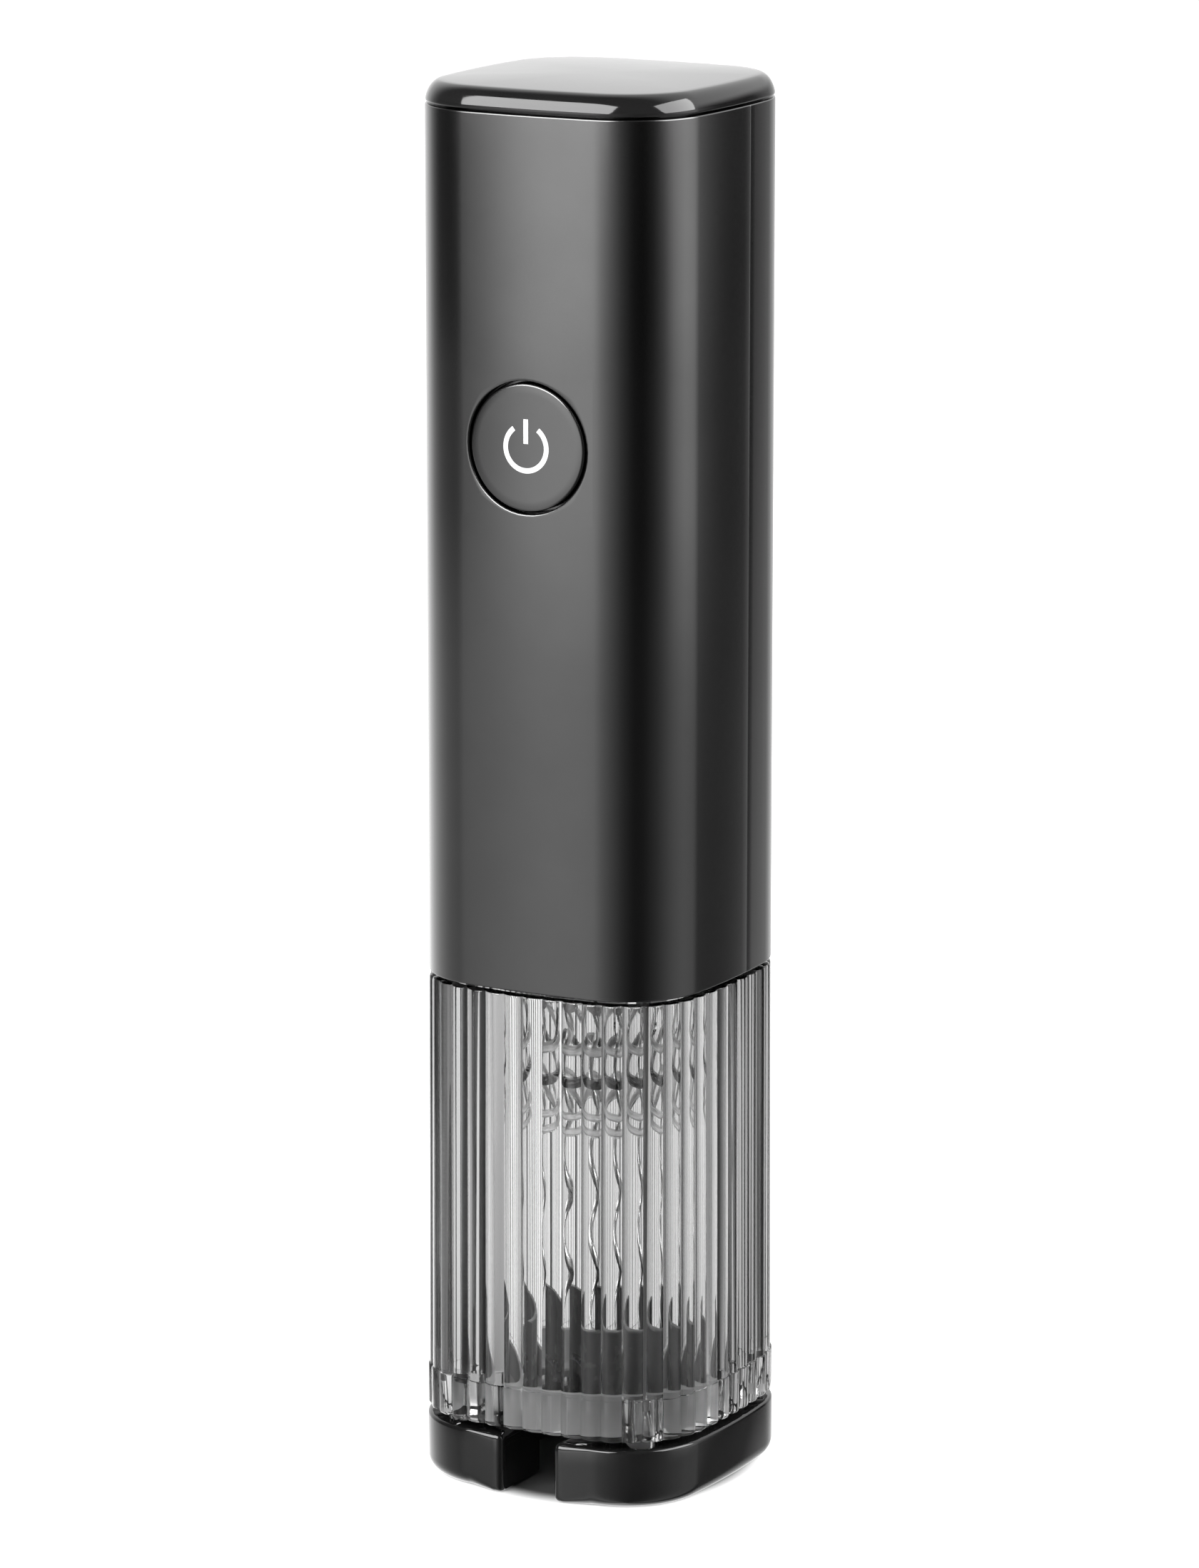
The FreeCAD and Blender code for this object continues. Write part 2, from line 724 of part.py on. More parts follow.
def motor():
    """A brushed motor above the gearbox."""
    plate_screws = [cylinder("screw_radius", 120, 132, x, 0) for x in MOTOR_SCREWS]
    part("motor_plate", cut(
        cylinder("gearbox_radius", "ring_top", "motor_plate_top"),
        cylinder(5, 120, 140),
        *plate_screws,
    ))
    part("motor_screws", group(*[
        joined(cylinder("screw_radius", "ring_top", "motor_plate_top + 0.8", x, 0),
               cylinder("screw_head", "ring_top - 1.6", "ring_top", x, 0))
        for x in MOTOR_SCREWS
    ]))
    inside = cylinder("motor_radius - 0.8", "motor_plate_top + 0.8", "motor_top + 1")
    can = joined(cylinder("motor_radius", "motor_plate_top", "motor_top"),
                 cylinder(5, "ring_top", "motor_plate_top"))
    part("motor_can", cut(
        can, inside, cylinder("shaft_radius + 0.05", 120, 140),
        *[cylinder("screw_radius", 120, "motor_plate_top + 0.8", x, 0) for x in MOTOR_SCREWS],
    ))
    magnet = cut(
        tube("motor_radius - 0.8", 11.2, 135, 161),
        box(-20, 20, -5, 5, 130, 165),
    )
    part("motor_magnets", magnet)
    part("motor_end_cap", cut(
        joined(cylinder("motor_radius", "motor_top", "motor_top + 2.5"),
               cylinder("motor_radius - 0.85", "motor_top - 2", "motor_top"),
               cylinder(4, "motor_top + 2.5", "motor_top + 4.5")),
        cylinder("shaft_radius + 0.05", 160, "motor_top + 4"),
        *[box(x - 1.2, x + 1.2, -0.3, 0.3, 160, 180) for x in TERMINALS],
    ))
    part("motor_terminals", group(*[
        box(x - 1.2, x + 1.2, -0.3, 0.3, "motor_top - 1", "motor_top + 6") for x in TERMINALS
    ]))
    part("motor_shaft", cylinder("shaft_radius", "first_gears_bottom", "motor_top + 3.8"))
    slots = [turned(box(3, 12, -1, 1, 130, 165), angle) for angle in (60, 180, 300)]
    core = cut(cylinder(10.7, 138, 158), *slots)
    commutator = cylinder(3.4, 158, 165.5)
    part("motor_armature", cut(joined(core, commutator), cylinder("shaft_radius", 130, 170)))
    part("motor_pinion", gear(
        dim("sun_teeth"), "first_gears_bottom", "first_gears_top + 1", bore="shaft_radius"
    ))


def inner_frame():
    """The frame that stands on the base plate and holds the cells and the boards."""
    floor_top = "frame_floor + 2"
    legs = [
        box(x0, x1, -3, 3, "plate_top", floor_top)
        for x0, x1 in ((-24.4, -21.2), (21.2, 24.4))
    ]
    solid = joined(
        *legs,
        box(-24.4, 24.4, -3, 3, "frame_floor", floor_top),
        box(-21.5, 21.5, 2, 19.5, "frame_floor", floor_top),
        box(-19.5, 19.5, -2.4, 0, "frame_floor", "frame_top"),
        *[rod(2.4, -10.6, -2, x, z) for x, z in BOARD_SCREWS],
        box(-11, 11, -1, 18.6, 232.6, 234.2),
    )
    holes = [cylinder("screw_radius", 90, "plate_top + 6", x, 0) for x in FRAME_SCREWS]
    board_holes = [rod(0.9, -12.2, -5, x, z) for x, z in BOARD_SCREWS]
    part("inner_frame", cut(solid, *holes, *board_holes))
    part("frame_screws", group(*[
        cylinder("screw_radius", "plate_bottom", "plate_top + 6", x, 0) for x in FRAME_SCREWS
    ]))


def electrics():
    """Cells, contacts, boards, switch and charging inlet."""
    cell_top = "cell_bottom + cell_length"
    part("battery_cells", group(*[
        joined(cylinder("cell_radius", "cell_bottom", f"{cell_top} - 1", x, "cell_y"),
               cylinder(3, f"{cell_top} - 1", cell_top, x, "cell_y"))
        for x in ("-cell_x", "cell_x")
    ]))
    part("battery_contacts", group(
        box(-15, 15, 5, 14, "frame_floor + 2", "frame_floor + 2.6"),
        box(-15, 15, 5, 14, cell_top, f"{cell_top} + 0.6"),
    ))
    part("main_board", cut(
        box(-17, 17, -12.2, -10.6, 175.5, 212),
        *[rod(0.9, -13, -5, x, z) for x, z in BOARD_SCREWS],
    ))
    part("board_screws", group(*[
        joined(rod(0.9, -12.2, -5, x, z), rod(1.7, -13.4, -12.2, x, z))
        for x, z in BOARD_SCREWS
    ]))
    part("switch_housing", cut(
        box(-3, 3, -16, -12.2, "button_height - 3", "button_height + 3"),
        rod(1.8, -17, -13.2, 0, "button_height"),
    ))
    part("charge_board", box(-9, 9, 16.9, 18.5, 234.2, 248))
    part("charging_inlet", cut(
        box(-4.6, 4.6, 18.5, 26.4, 238, 241.6),
        box(-4.1, 4.1, 19.5, 30, 238.5, 241.1),
    ))


def button():
    """The push button in the front shell, its retainer and its spring."""
    face = "width / 2"
    centre = "button_height"
    cap = shared(rod("button_radius", f"-{face} - 1", -23.9, 0, centre),
                 outline_prism(0, "button_height - 20", "button_height + 20"))
    flange = rod("button_radius + 1.4", -23.7, -22.9, 0, centre)
    cup = rod("button_radius - 1.6", -25.7, -22, 0, centre)
    skirt = rod("button_radius", -24, -22.9, 0, centre)
    stem = rod(2, -26, -16.9, 0, centre)
    part("button_cap", joined(cut(joined(cap, flange, skirt), cup), stem))
    part("switch_plunger", rod(1.7, -16.9, -14.1, 0, centre))
    retainer = cut(
        rod("button_radius + 4", -22.4, -20.6, 0, centre),
        rod("button_radius + 2.2", -24, -21.4, 0, centre),
        rod("button_radius - 3", -24, -20, 0, centre),
    )
    part("button_retainer", retainer)
    spring = doc.addObject("Part::Feature", unique("spring"))
    coil = Part.makeHelix(1.9, 12.4, 4.6)
    start = coil.Edges[0]
    ring = Part.Circle(start.valueAt(start.FirstParameter),
                       start.tangentAt(start.FirstParameter), 0.3)
    spring.Shape = Part.Wire(coil.Edges).makePipeShell([Part.Wire([ring.toShape()])], True, True)
    spring.Placement = FreeCAD.Placement(
        Vector(0, -12.7, dim("button_height")), FreeCAD.Rotation(Vector(1, 0, 0), 90)
    )
    part("button_spring", spring)


def casing():
    """Front shell, rear cover and cap."""
    height = ("body_bottom", "body_top")
    outer = rounded(outline_prism(0, *height), "body_top", "body_edge_round", 5)
    hollow = outline_prism("-wall", "body_bottom - 1", "body_top + 1")
    shell = cut(outer, hollow)
    reach = "split_y"
    front = shared(shell, box(-40, 40, -40, reach, 80, 260))
    inside = outline_prism("-wall + 0.5", *height)
    bosses = shared(joined(*[rod(2.6, -26, reach, x, z) for x, z in SHELL_SCREWS]), inside)
    hole_rim = doc.addObject("Part::Cone", unique("rim"))
    bind(hole_rim, "Radius1", "button_radius + button_gap")
    bind(hole_rim, "Radius2", "button_radius + button_gap + 2")
    bind(hole_rim, "Height", 2)
    hole_rim.Placement.Rotation = FreeCAD.Rotation(Vector(1, 0, 0), 90)
    move(hole_rim, 0, "-width / 2 + 0.85", "button_height")
    part("front_shell", cut(
        joined(front, bosses),
        rod("button_radius + button_gap", -40, -20, 0, "button_height"),
        hole_rim,
        *[rod(0.95, -18, 30, x, z) for x, z in SHELL_SCREWS],
    ))
    rear = shared(shell, box(-40, 40, reach, 40, 80, 260))
    rear_bosses = shared(joined(*[rod(2.6, reach, 26, x, z) for x, z in SHELL_SCREWS]), inside)
    part("rear_cover", cut(
        joined(rear, rear_bosses),
        *[rod(1.1, 0, 30, x, z) for x, z in SHELL_SCREWS],
        *[rod(2.2, 16, 30, x, z) for x, z in SHELL_SCREWS],
        box(-4.8, 4.8, 15, 40, 237.8, 241.8),
    ))
    part("shell_screws", group(*[
        joined(rod(0.95, -14, 16, x, z), rod(1.9, 16, 17.8, x, z)) for x, z in SHELL_SCREWS
    ]))
    cap = rounded(outline_prism(0, "cap_bottom", "overall_height"), "overall_height",
                  "cap_round", 5)
    skirt = cut(outline_prism("-wall - 0.15", "cap_bottom - 4", "cap_bottom"),
                outline_prism("-wall - 1.6", "cap_bottom - 5", "cap_bottom + 1"))
    part("top_cap", joined(cap, skirt))


foil_cutter()
chamber()
worm_drive()
spots_below_gearbox = gearbox()
base_plate(spots_below_gearbox)
motor()
inner_frame()
electrics()
button()
casing()

# ---------------------------------------------------------------- checks and export

doc.recompute()
for thing in doc.Objects:
    if {"Invalid", "Error"} & set(thing.State):
        raise SystemExit(f"{thing.Name} ({thing.Label}) is in state {thing.State}")
for name, thing in parts.items():
    if thing.Shape.isNull() or not thing.Shape.isValid() or not thing.Shape.Solids:
        raise SystemExit(f"{name} has no valid solid")
for name, thing in parts.items():
    thing.Shape.exportStep(f"parts/{name}.step")
    print(f"{name}: {len(thing.Shape.Solids)} solids, {thing.Shape.Volume:.1f} mm3")
print(len(parts), "nodes")
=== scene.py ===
import json
import math

import bmesh
import bpy
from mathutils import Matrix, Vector


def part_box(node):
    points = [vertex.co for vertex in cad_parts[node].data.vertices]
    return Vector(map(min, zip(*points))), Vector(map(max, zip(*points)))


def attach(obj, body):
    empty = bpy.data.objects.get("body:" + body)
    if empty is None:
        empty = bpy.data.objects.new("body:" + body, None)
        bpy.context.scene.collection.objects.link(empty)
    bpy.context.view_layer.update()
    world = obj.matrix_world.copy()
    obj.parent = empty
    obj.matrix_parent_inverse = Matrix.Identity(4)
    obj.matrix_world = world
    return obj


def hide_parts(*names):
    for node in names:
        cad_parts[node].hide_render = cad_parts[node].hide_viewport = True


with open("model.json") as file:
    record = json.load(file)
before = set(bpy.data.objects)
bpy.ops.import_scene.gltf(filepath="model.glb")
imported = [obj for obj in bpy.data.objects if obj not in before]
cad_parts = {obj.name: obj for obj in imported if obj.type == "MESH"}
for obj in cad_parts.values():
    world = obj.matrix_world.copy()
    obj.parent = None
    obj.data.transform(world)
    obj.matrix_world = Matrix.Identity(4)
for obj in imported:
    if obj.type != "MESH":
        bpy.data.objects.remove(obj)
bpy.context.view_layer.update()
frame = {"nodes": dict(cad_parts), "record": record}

# Lengths below are in millimetres, as in the design; the meshes are written in metres.
MM = 0.001
NODES = frame["nodes"]


def edges_of(node):
    """Lowest and highest corner of a CAD node, in millimetres."""
    low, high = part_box(node)
    return low / MM, high / MM


# ---------------------------------------------------------------- sizes, from the frame and the design

SHELL_LOW, SHELL_HIGH = edges_of("front_shell")
CAP_HIGH = edges_of("top_cap")[1]
CHAMBER_LOW, CHAMBER_HIGH = edges_of("chamber")
BUTTON_LOW, BUTTON_HIGH = edges_of("button_cap")
JAW_HIGH = edges_of("jaw_right")[1]
SPINE_HIGH = edges_of("cutter_spine")[1]

HALF = SHELL_HIGH.x
SPLIT = SHELL_HIGH.y
WALL = 2.2
SIDE_BOW = 145.0
CORNER = 15.27
CORNER_AT = 11.7
SIDE_AT = SIDE_BOW - HALF
TILT = math.atan2(CORNER_AT, CORNER_AT + SIDE_AT)

CAP_TOP = CAP_HIGH.z
CAP_BOTTOM = SHELL_HIGH.z + 0.4
CHAMBER_TOP = 93.7
NECK_TOP = CHAMBER_HIGH.z
COLLAR_BOTTOM = CHAMBER_LOW.z
COLLAR_TOP = 20.3
COLLAR_GROW = CHAMBER_HIGH.x - HALF
BASE_TOP = SPINE_HIGH.z
BASE_GROW = JAW_HIGH.x - HALF
BUTTON_Z = (BUTTON_LOW.z + BUTTON_HIGH.z) / 2
BUTTON_R = 11.45
HOLE_R = 11.9
FLUTES = 48
FLUTE_DEPTH = 0.65
BORE = 24.0
CHANNEL = 2.6
CHANNEL_TOP = 20.0
CHANNEL_AT = 18.7 * math.sqrt(2)
GUIDE_SEAT = 95.5
# The cork guide's rims as (middle, half height). The first three are also made partly white and
# diffuse, as a painted highlight.
PAINTED_HIGHLIGHT_RIMS = ((65.1, 0.5), (67.8, 0.5), (79.4, 0.6))
DARK_RIM = (73.8, 0.8)
SCREW_HEAD_R = 1.9
SCREW_HOLE_R = 2.2
ICON_DEPTH = 0.02


# ---------------------------------------------------------------- mesh building


class Maker:
    """Collects quads and polygons, then welds what meets."""

    def __init__(self):
        self.points = []
        self.faces = []

    def add(self, point):
        self.points.append(Vector(point))
        return len(self.points) - 1

    def grid(self, rows, closed_rows=False, closed_columns=False, skip=None):
        """Quads between rows of points. skip(row, column) leaves a quad out."""
        ids = [[self.add(p) for p in row] for row in rows]
        last_row = len(ids) if closed_rows else len(ids) - 1
        for i in range(last_row):
            upper, lower = ids[(i + 1) % len(ids)], ids[i]
            last = len(lower) if closed_columns else len(lower) - 1
            for j in range(last):
                if skip and skip(i, j):
                    continue
                k = (j + 1) % len(lower)
                self.faces.append((lower[j], lower[k], upper[k], upper[j]))

    def polygon(self, points):
        """One flat face."""
        self.faces.append(tuple(self.add(p) for p in points))

    def capped(self, rings):
        """A tube through rings of points, closed at both ends."""
        self.grid(rings, closed_columns=True)
        self.polygon(rings[0])
        self.polygon(rings[-1])

    def build(self, name):
        """The object, with its normals outward."""
        mesh = bpy.data.meshes.new(name)
        mesh.from_pydata([p * MM for p in self.points], [], self.faces)
        work = bmesh.new()
        work.from_mesh(mesh)
        bmesh.ops.remove_doubles(work, verts=work.verts, dist=1e-6)
        bmesh.ops.dissolve_degenerate(work, dist=1e-7, edges=work.edges)
        bmesh.ops.recalc_face_normals(work, faces=work.faces)
        work.to_mesh(mesh)
        work.free()
        made = bpy.data.objects.new(name, mesh)
        bpy.context.scene.collection.objects.link(made)
        return made


def smoothing_group():
    """Geometry nodes that weld a mesh and shade it smooth, except at sharp edges."""
    tree = bpy.data.node_groups.new("smooth_by_angle", "GeometryNodeTree")
    tree.interface.new_socket("Geometry", in_out="INPUT", socket_type="NodeSocketGeometry")
    tree.interface.new_socket("Geometry", in_out="OUTPUT", socket_type="NodeSocketGeometry")
    nodes, links = tree.nodes, tree.links
    start = nodes.new("NodeGroupInput")
    end = nodes.new("NodeGroupOutput")
    weld = nodes.new("GeometryNodeMergeByDistance")
    weld.inputs["Distance"].default_value = 1e-6
    faces = nodes.new("GeometryNodeSetShadeSmooth")
    faces.domain = "FACE"
    faces.inputs["Shade Smooth"].default_value = True
    edges = nodes.new("GeometryNodeSetShadeSmooth")
    edges.domain = "EDGE"
    edges.inputs["Shade Smooth"].default_value = False
    angle = nodes.new("GeometryNodeInputMeshEdgeAngle")
    sharp = nodes.new("FunctionNodeCompare")
    sharp.data_type = "FLOAT"
    sharp.operation = "GREATER_THAN"
    sharp.inputs["B"].default_value = math.radians(32)
    links.new(start.outputs[0], weld.inputs["Geometry"])
    links.new(weld.outputs["Geometry"], faces.inputs["Geometry"])
    links.new(faces.outputs["Geometry"], edges.inputs["Geometry"])
    links.new(angle.outputs["Unsigned Angle"], sharp.inputs["A"])
    links.new(sharp.outputs["Result"], edges.inputs["Selection"])
    links.new(edges.outputs["Geometry"], end.inputs[0])
    return tree


SMOOTHING = smoothing_group()


def smooth(thing):
    thing.modifiers.new("smooth", "NODES").node_group = SMOOTHING


def finish_piece(thing, body, slot, material, *nodes):
    """Shade, dress and mount a piece that stands for some CAD nodes."""
    smooth(thing)
    thing.data.materials.clear()
    thing.data.materials.append(material)
    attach(thing, body)
    if nodes:
        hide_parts(*nodes)


def arc_steps(start, end, count):
    """Even steps from start to end, with both."""
    return [start + (end - start) * n / count for n in range(count + 1)]


def full_turn(count):
    """Angles all the way round, each once."""
    return arc_steps(0, 2 * math.pi, count)[:-1]


def wire_ring(centre, along, outward, radius, count):
    """A ring of points round a wire."""
    across = along.normalized().cross(outward)
    return [centre + (outward * math.cos(b) + across * math.sin(b)) * radius
            for b in full_turn(count)]


# ---------------------------------------------------------------- the bowed square outline


def spun(quarter, x, y):
    """A point of the +X quarter, turned to another quarter."""
    cos, sin = ((1, 0), (0, 1), (-1, 0), (0, -1))[quarter % 4]
    return Vector((x * cos - y * sin, x * sin + y * cos, 0))


def side_column(quarter, angle):
    """A point on a bowed side and the way it faces."""
    point = spun(quarter, -SIDE_AT + SIDE_BOW * math.cos(angle), SIDE_BOW * math.sin(angle))
    return point, spun(quarter, math.cos(angle), math.sin(angle))


def corner_column(quarter, angle):
    """A point on the round corner that follows a side."""
    x = CORNER_AT + CORNER * math.cos(angle)
    y = CORNER_AT + CORNER * math.sin(angle)
    return spun(quarter, x, y), spun(quarter, math.cos(angle), math.sin(angle))


def side_run(quarter, start, end, count):
    return [side_column(quarter, a) for a in arc_steps(start, end, count)]


def corner_run(quarter, count):
    return [corner_column(quarter, a) for a in arc_steps(TILT, math.pi / 2 - TILT, count)]


def whole_outline(side_count, corner_count):
    """Columns all the way round, each once."""
    columns = []
    for quarter in range(4):
        columns += side_run(quarter, -TILT, TILT, side_count)[:-1]
        columns += corner_run(quarter, corner_count)[:-1]
    return columns


def set_out(column, grow, z):
    """A point of a column at a height, moved outward by grow."""
    point, facing = column
    return point + facing * grow + Vector((0, 0, z))


def outline_share(share):
    """The column at a share of the way round, by length."""
    side = 2 * TILT * SIDE_BOW
    bend = (math.pi / 2 - 2 * TILT) * CORNER
    quarter, rest = divmod(share * 4, 1)
    along = rest * (side + bend)
    if along < side:
        return side_column(int(quarter), along / SIDE_BOW - TILT)
    return corner_column(int(quarter), TILT + (along - side) / CORNER)


# ---------------------------------------------------------------- materials


def new_material(name):
    made = bpy.data.materials.new(name)
    made.use_nodes = True
    shader = made.node_tree.nodes["Principled BSDF"]
    return made, made.node_tree, shader


def put(shader, **amounts):
    for name, amount in amounts.items():
        shader.inputs[name.replace("_", " ")].default_value = amount


def spread(tree, source, low, high):
    """0 below low, 1 above high, smooth between."""
    made = tree.nodes.new("ShaderNodeMapRange")
    made.interpolation_type = "SMOOTHSTEP"
    made.inputs["From Min"].default_value = low
    made.inputs["From Max"].default_value = high
    tree.links.new(source, made.inputs["Value"])
    return made.outputs["Result"]


def blend(tree, share, low, high):
    """Low where share is 0 and high where it is 1. Each is a socket or a colour."""
    made = tree.nodes.new("ShaderNodeMix")
    made.data_type = "RGBA"
    for socket, source in ((0, share), (6, low), (7, high)):
        if isinstance(source, tuple):
            made.inputs[socket].default_value = source
        else:
            tree.links.new(source, made.inputs[socket])
    return made.outputs[2]


def compute(tree, operation, first, second):
    """One calculation on two values. Each is a socket or a number."""
    made = tree.nodes.new("ShaderNodeMath")
    made.operation = operation
    for socket, source in enumerate((first, second)):
        if isinstance(source, (int, float)):
            made.inputs[socket].default_value = source
        else:
            tree.links.new(source, made.inputs[socket])
    return made.outputs[0]


def noise(tree, scale, detail, rough=0.55, stretch=(1, 1, 1)):
    """Noise in the object's own metres."""
    where = tree.nodes.new("ShaderNodeTexCoord")
    mapping = tree.nodes.new("ShaderNodeMapping")
    mapping.inputs["Scale"].default_value = stretch
    made = tree.nodes.new("ShaderNodeTexNoise")
    made.inputs["Scale"].default_value = scale
    made.inputs["Detail"].default_value = detail
    made.inputs["Roughness"].default_value = rough
    tree.links.new(where.outputs["Object"], mapping.inputs["Vector"])
    tree.links.new(mapping.outputs["Vector"], made.inputs["Vector"])
    return made.outputs["Fac"]


def ranged(tree, source, low, high):
    """Noise, which is mostly between 0.3 and 0.7, spread between two other values."""
    made = tree.nodes.new("ShaderNodeMapRange")
    made.inputs["From Min"].default_value = 0.3
    made.inputs["From Max"].default_value = 0.7
    made.inputs["To Min"].default_value = low
    made.inputs["To Max"].default_value = high
    tree.links.new(source, made.inputs["Value"])
    return made.outputs["Result"]


def tinted(tree, source, low, high):
    """A colour that noise moves between two others."""
    return blend(tree, ranged(tree, source, 0, 1), (*low, 1), (*high, 1))


def bumped(tree, shader, source, height, strength):
    made = tree.nodes.new("ShaderNodeBump")
    made.inputs["Distance"].default_value = height
    made.inputs["Strength"].default_value = strength
    tree.links.new(source, made.inputs["Height"])
    tree.links.new(made.outputs["Normal"], shader.inputs["Normal"])


def grey(amount):
    return (amount, amount, amount)


def satin_metal(name, low, high, rough):
    """Fine-grained satin coating."""
    made, tree, shader = new_material(name)
    put(shader, Metallic=1.0)
    patches = noise(tree, 60, 4)
    grain = noise(tree, 9000, 2)
    tree.links.new(tinted(tree, patches, grey(low), grey(high)), shader.inputs["Base Color"])
    tree.links.new(ranged(tree, grain, rough - 0.03, rough + 0.04), shader.inputs["Roughness"])
    bumped(tree, shader, grain, 0.000004, 0.35)
    return made


def gloss(name, low, high, rough):
    """Polished moulded plastic, with the faint waviness that moulding leaves."""
    made, tree, shader = new_material(name)
    put(shader, IOR=1.52)
    tone = noise(tree, 40, 2)
    smear = noise(tree, 300, 4)
    tree.links.new(tinted(tree, tone, grey(low), grey(high)), shader.inputs["Base Color"])
    tree.links.new(ranged(tree, smear, rough, rough + 0.05), shader.inputs["Roughness"])
    bumped(tree, shader, noise(tree, 90, 1), 0.00002, 0.25)
    return made


def moulded(name, low, high, rough=0.45):
    """Plain moulded plastic with a fine texture."""
    made, tree, shader = new_material(name)
    tone = noise(tree, 120, 3)
    tree.links.new(tinted(tree, tone, low, high), shader.inputs["Base Color"])
    tree.links.new(ranged(tree, tone, rough - 0.05, rough + 0.08), shader.inputs["Roughness"])
    bumped(tree, shader, noise(tree, 3500, 2), 0.00001, 0.4)
    return made


def metal(name, low, high, rough, stretch=(1, 1, 1)):
    """Bright metal with fine machining marks."""
    made, tree, shader = new_material(name)
    put(shader, Metallic=1.0)
    marks = noise(tree, 2500, 3, 0.6, stretch)
    tree.links.new(tinted(tree, marks, low, high), shader.inputs["Base Color"])
    tree.links.new(ranged(tree, marks, rough, rough + 0.1), shader.inputs["Roughness"])
    bumped(tree, shader, marks, 0.000006, 0.4)
    return made


def clear(name, low, high, rough=0.02):
    """Clear or tinted plastic."""
    made, tree, shader = new_material(name)
    put(shader, Transmission_Weight=1.0, IOR=1.49)
    flow = noise(tree, 25, 2, 0.5, (1, 1, 0.15))
    tree.links.new(tinted(tree, flow, low, high), shader.inputs["Base Color"])
    tree.links.new(ranged(tree, noise(tree, 400, 3), rough, rough + 0.03),
                   shader.inputs["Roughness"])
    bumped(tree, shader, noise(tree, 160, 1, 0.5, (1, 1, 0.1)), 0.00003, 0.3)
    return made


def absorb(material, tint, density):
    """Darken the light by how far it goes through the plastic."""
    tree = material.node_tree
    made = tree.nodes.new("ShaderNodeVolumeAbsorption")
    made.inputs["Color"].default_value = (*grey(tint), 1)
    made.inputs["Density"].default_value = density
    tree.links.new(made.outputs["Volume"], tree.nodes["Material Output"].inputs["Volume"])


def level_band(tree, middle, half):
    """1 within half a band's height of its middle, 0 elsewhere."""
    where = tree.nodes.new("ShaderNodeTexCoord")
    parts = tree.nodes.new("ShaderNodeSeparateXYZ")
    tree.links.new(where.outputs["Object"], parts.inputs[0])
    made = tree.nodes.new("ShaderNodeMath")
    made.operation = "COMPARE"
    made.inputs[1].default_value = middle * MM
    made.inputs[2].default_value = half * MM
    tree.links.new(parts.outputs[2], made.inputs[0])
    return made.outputs[0]


def banded_clear():
    """Clear plastic with one darker rim, and three rims made partly white and diffuse as a painted
    highlight.
    """
    made = clear("cork_clear", grey(0.96), grey(1.0), 0.03)
    tree = made.node_tree
    shader = tree.nodes["Principled BSDF"]
    # Lower than a real plastic's, which keeps the sleeve pale.
    put(shader, IOR=1.27)
    colour = shader.inputs["Base Color"]
    plain = colour.links[0].from_socket
    dark = level_band(tree, *DARK_RIM)
    tree.links.new(blend(tree, dark, plain, (*grey(0.12), 1)), colour)
    # Painted highlight: three rims let less light through and show their white base colour, standing
    # in for the bright lines of light on them.
    painted_highlight = 0.0
    margin = 0.02
    for middle, half in PAINTED_HIGHLIGHT_RIMS:
        painted_highlight = compute(tree, "MAXIMUM", painted_highlight, level_band(tree, middle, half + margin))
    weight = tree.nodes.new("ShaderNodeMapRange")
    weight.inputs["To Min"].default_value = 1.0
    weight.inputs["To Max"].default_value = 0.4
    tree.links.new(painted_highlight, weight.inputs["Value"])
    tree.links.new(weight.outputs["Result"], shader.inputs["Transmission Weight"])
    return made


SHELL = satin_metal("shell_satin", 0.12, 0.13, 0.2)
BUTTON = satin_metal("button_satin", 0.12, 0.13, 0.2)
CAP = gloss("cap_gloss", 0.006, 0.009, 0.05)
CUTTER = gloss("cutter_gloss", 0.004, 0.007, 0.04)
TOWER = moulded("cutter_tower", grey(0.1), grey(0.13), 0.25)
SMOKE = clear("smoke_clear", grey(0.89), grey(0.93))
absorb(SMOKE, 0.1, 42)
CORK = banded_clear()
GUIDE = moulded("guide_grey", grey(0.56), grey(0.62), 0.4)
WORM = metal("worm_steel", grey(0.8), grey(0.9), 0.22, (1, 1, 4))
STEEL = metal("bright_steel", grey(0.5), grey(0.6), 0.25)
SCREW = metal("screw_steel", grey(0.26), grey(0.32), 0.35)
BRASS = metal("brass", (0.62, 0.45, 0.2), (0.72, 0.54, 0.28), 0.25)
DARK_PLASTIC = moulded("dark_plastic", grey(0.012), grey(0.02))
HUB = moulded("hub_plastic", grey(0.6), grey(0.66), 0.4)
GREY_PLASTIC = moulded("grey_plastic", grey(0.09), grey(0.12))
NYLON = moulded("nylon", (0.7, 0.69, 0.63), (0.78, 0.77, 0.72), 0.4)
BOARD = moulded("board_green", (0.01, 0.09, 0.03), (0.015, 0.12, 0.045), 0.3)
JACKET = moulded("cell_jacket", (0.03, 0.18, 0.08), (0.04, 0.22, 0.1), 0.25)
MARK = moulded("printed_mark", grey(0.55), grey(0.6), 0.35)

BY_SLOT = {
    "cap_gloss": CAP, "shell_satin": SHELL, "button_satin": BUTTON, "cutter_gloss": CUTTER,
    "smoke_clear": SMOKE, "clear_plastic": CORK, "guide_grey": GUIDE, "wheel_steel": STEEL,
    "pin_steel": STEEL, "spring_steel": STEEL, "screw_steel": SCREW, "worm_steel": WORM,
    "hub_plastic": HUB, "spindle_steel": STEEL, "gear_nylon": NYLON,
    "gearbox_plastic": DARK_PLASTIC, "frame_plastic": GREY_PLASTIC, "bearing_bronze": BRASS,
    "pinion_brass": BRASS, "motor_steel": STEEL, "magnet_ferrite": DARK_PLASTIC,
    "core_steel": STEEL, "cell_jacket": JACKET, "board_green": BOARD, "inlet_steel": STEEL,
}


def dress_frame():
    """Every CAD node gets the finish of its slot and smooth shading."""
    for entry in frame["record"]["subparts"]:
        node = NODES[entry["node"]]
        node.data.materials.clear()
        node.data.materials.append(BY_SLOT[entry["material_slot"]])
        smooth(node)


# ---------------------------------------------------------------- the case


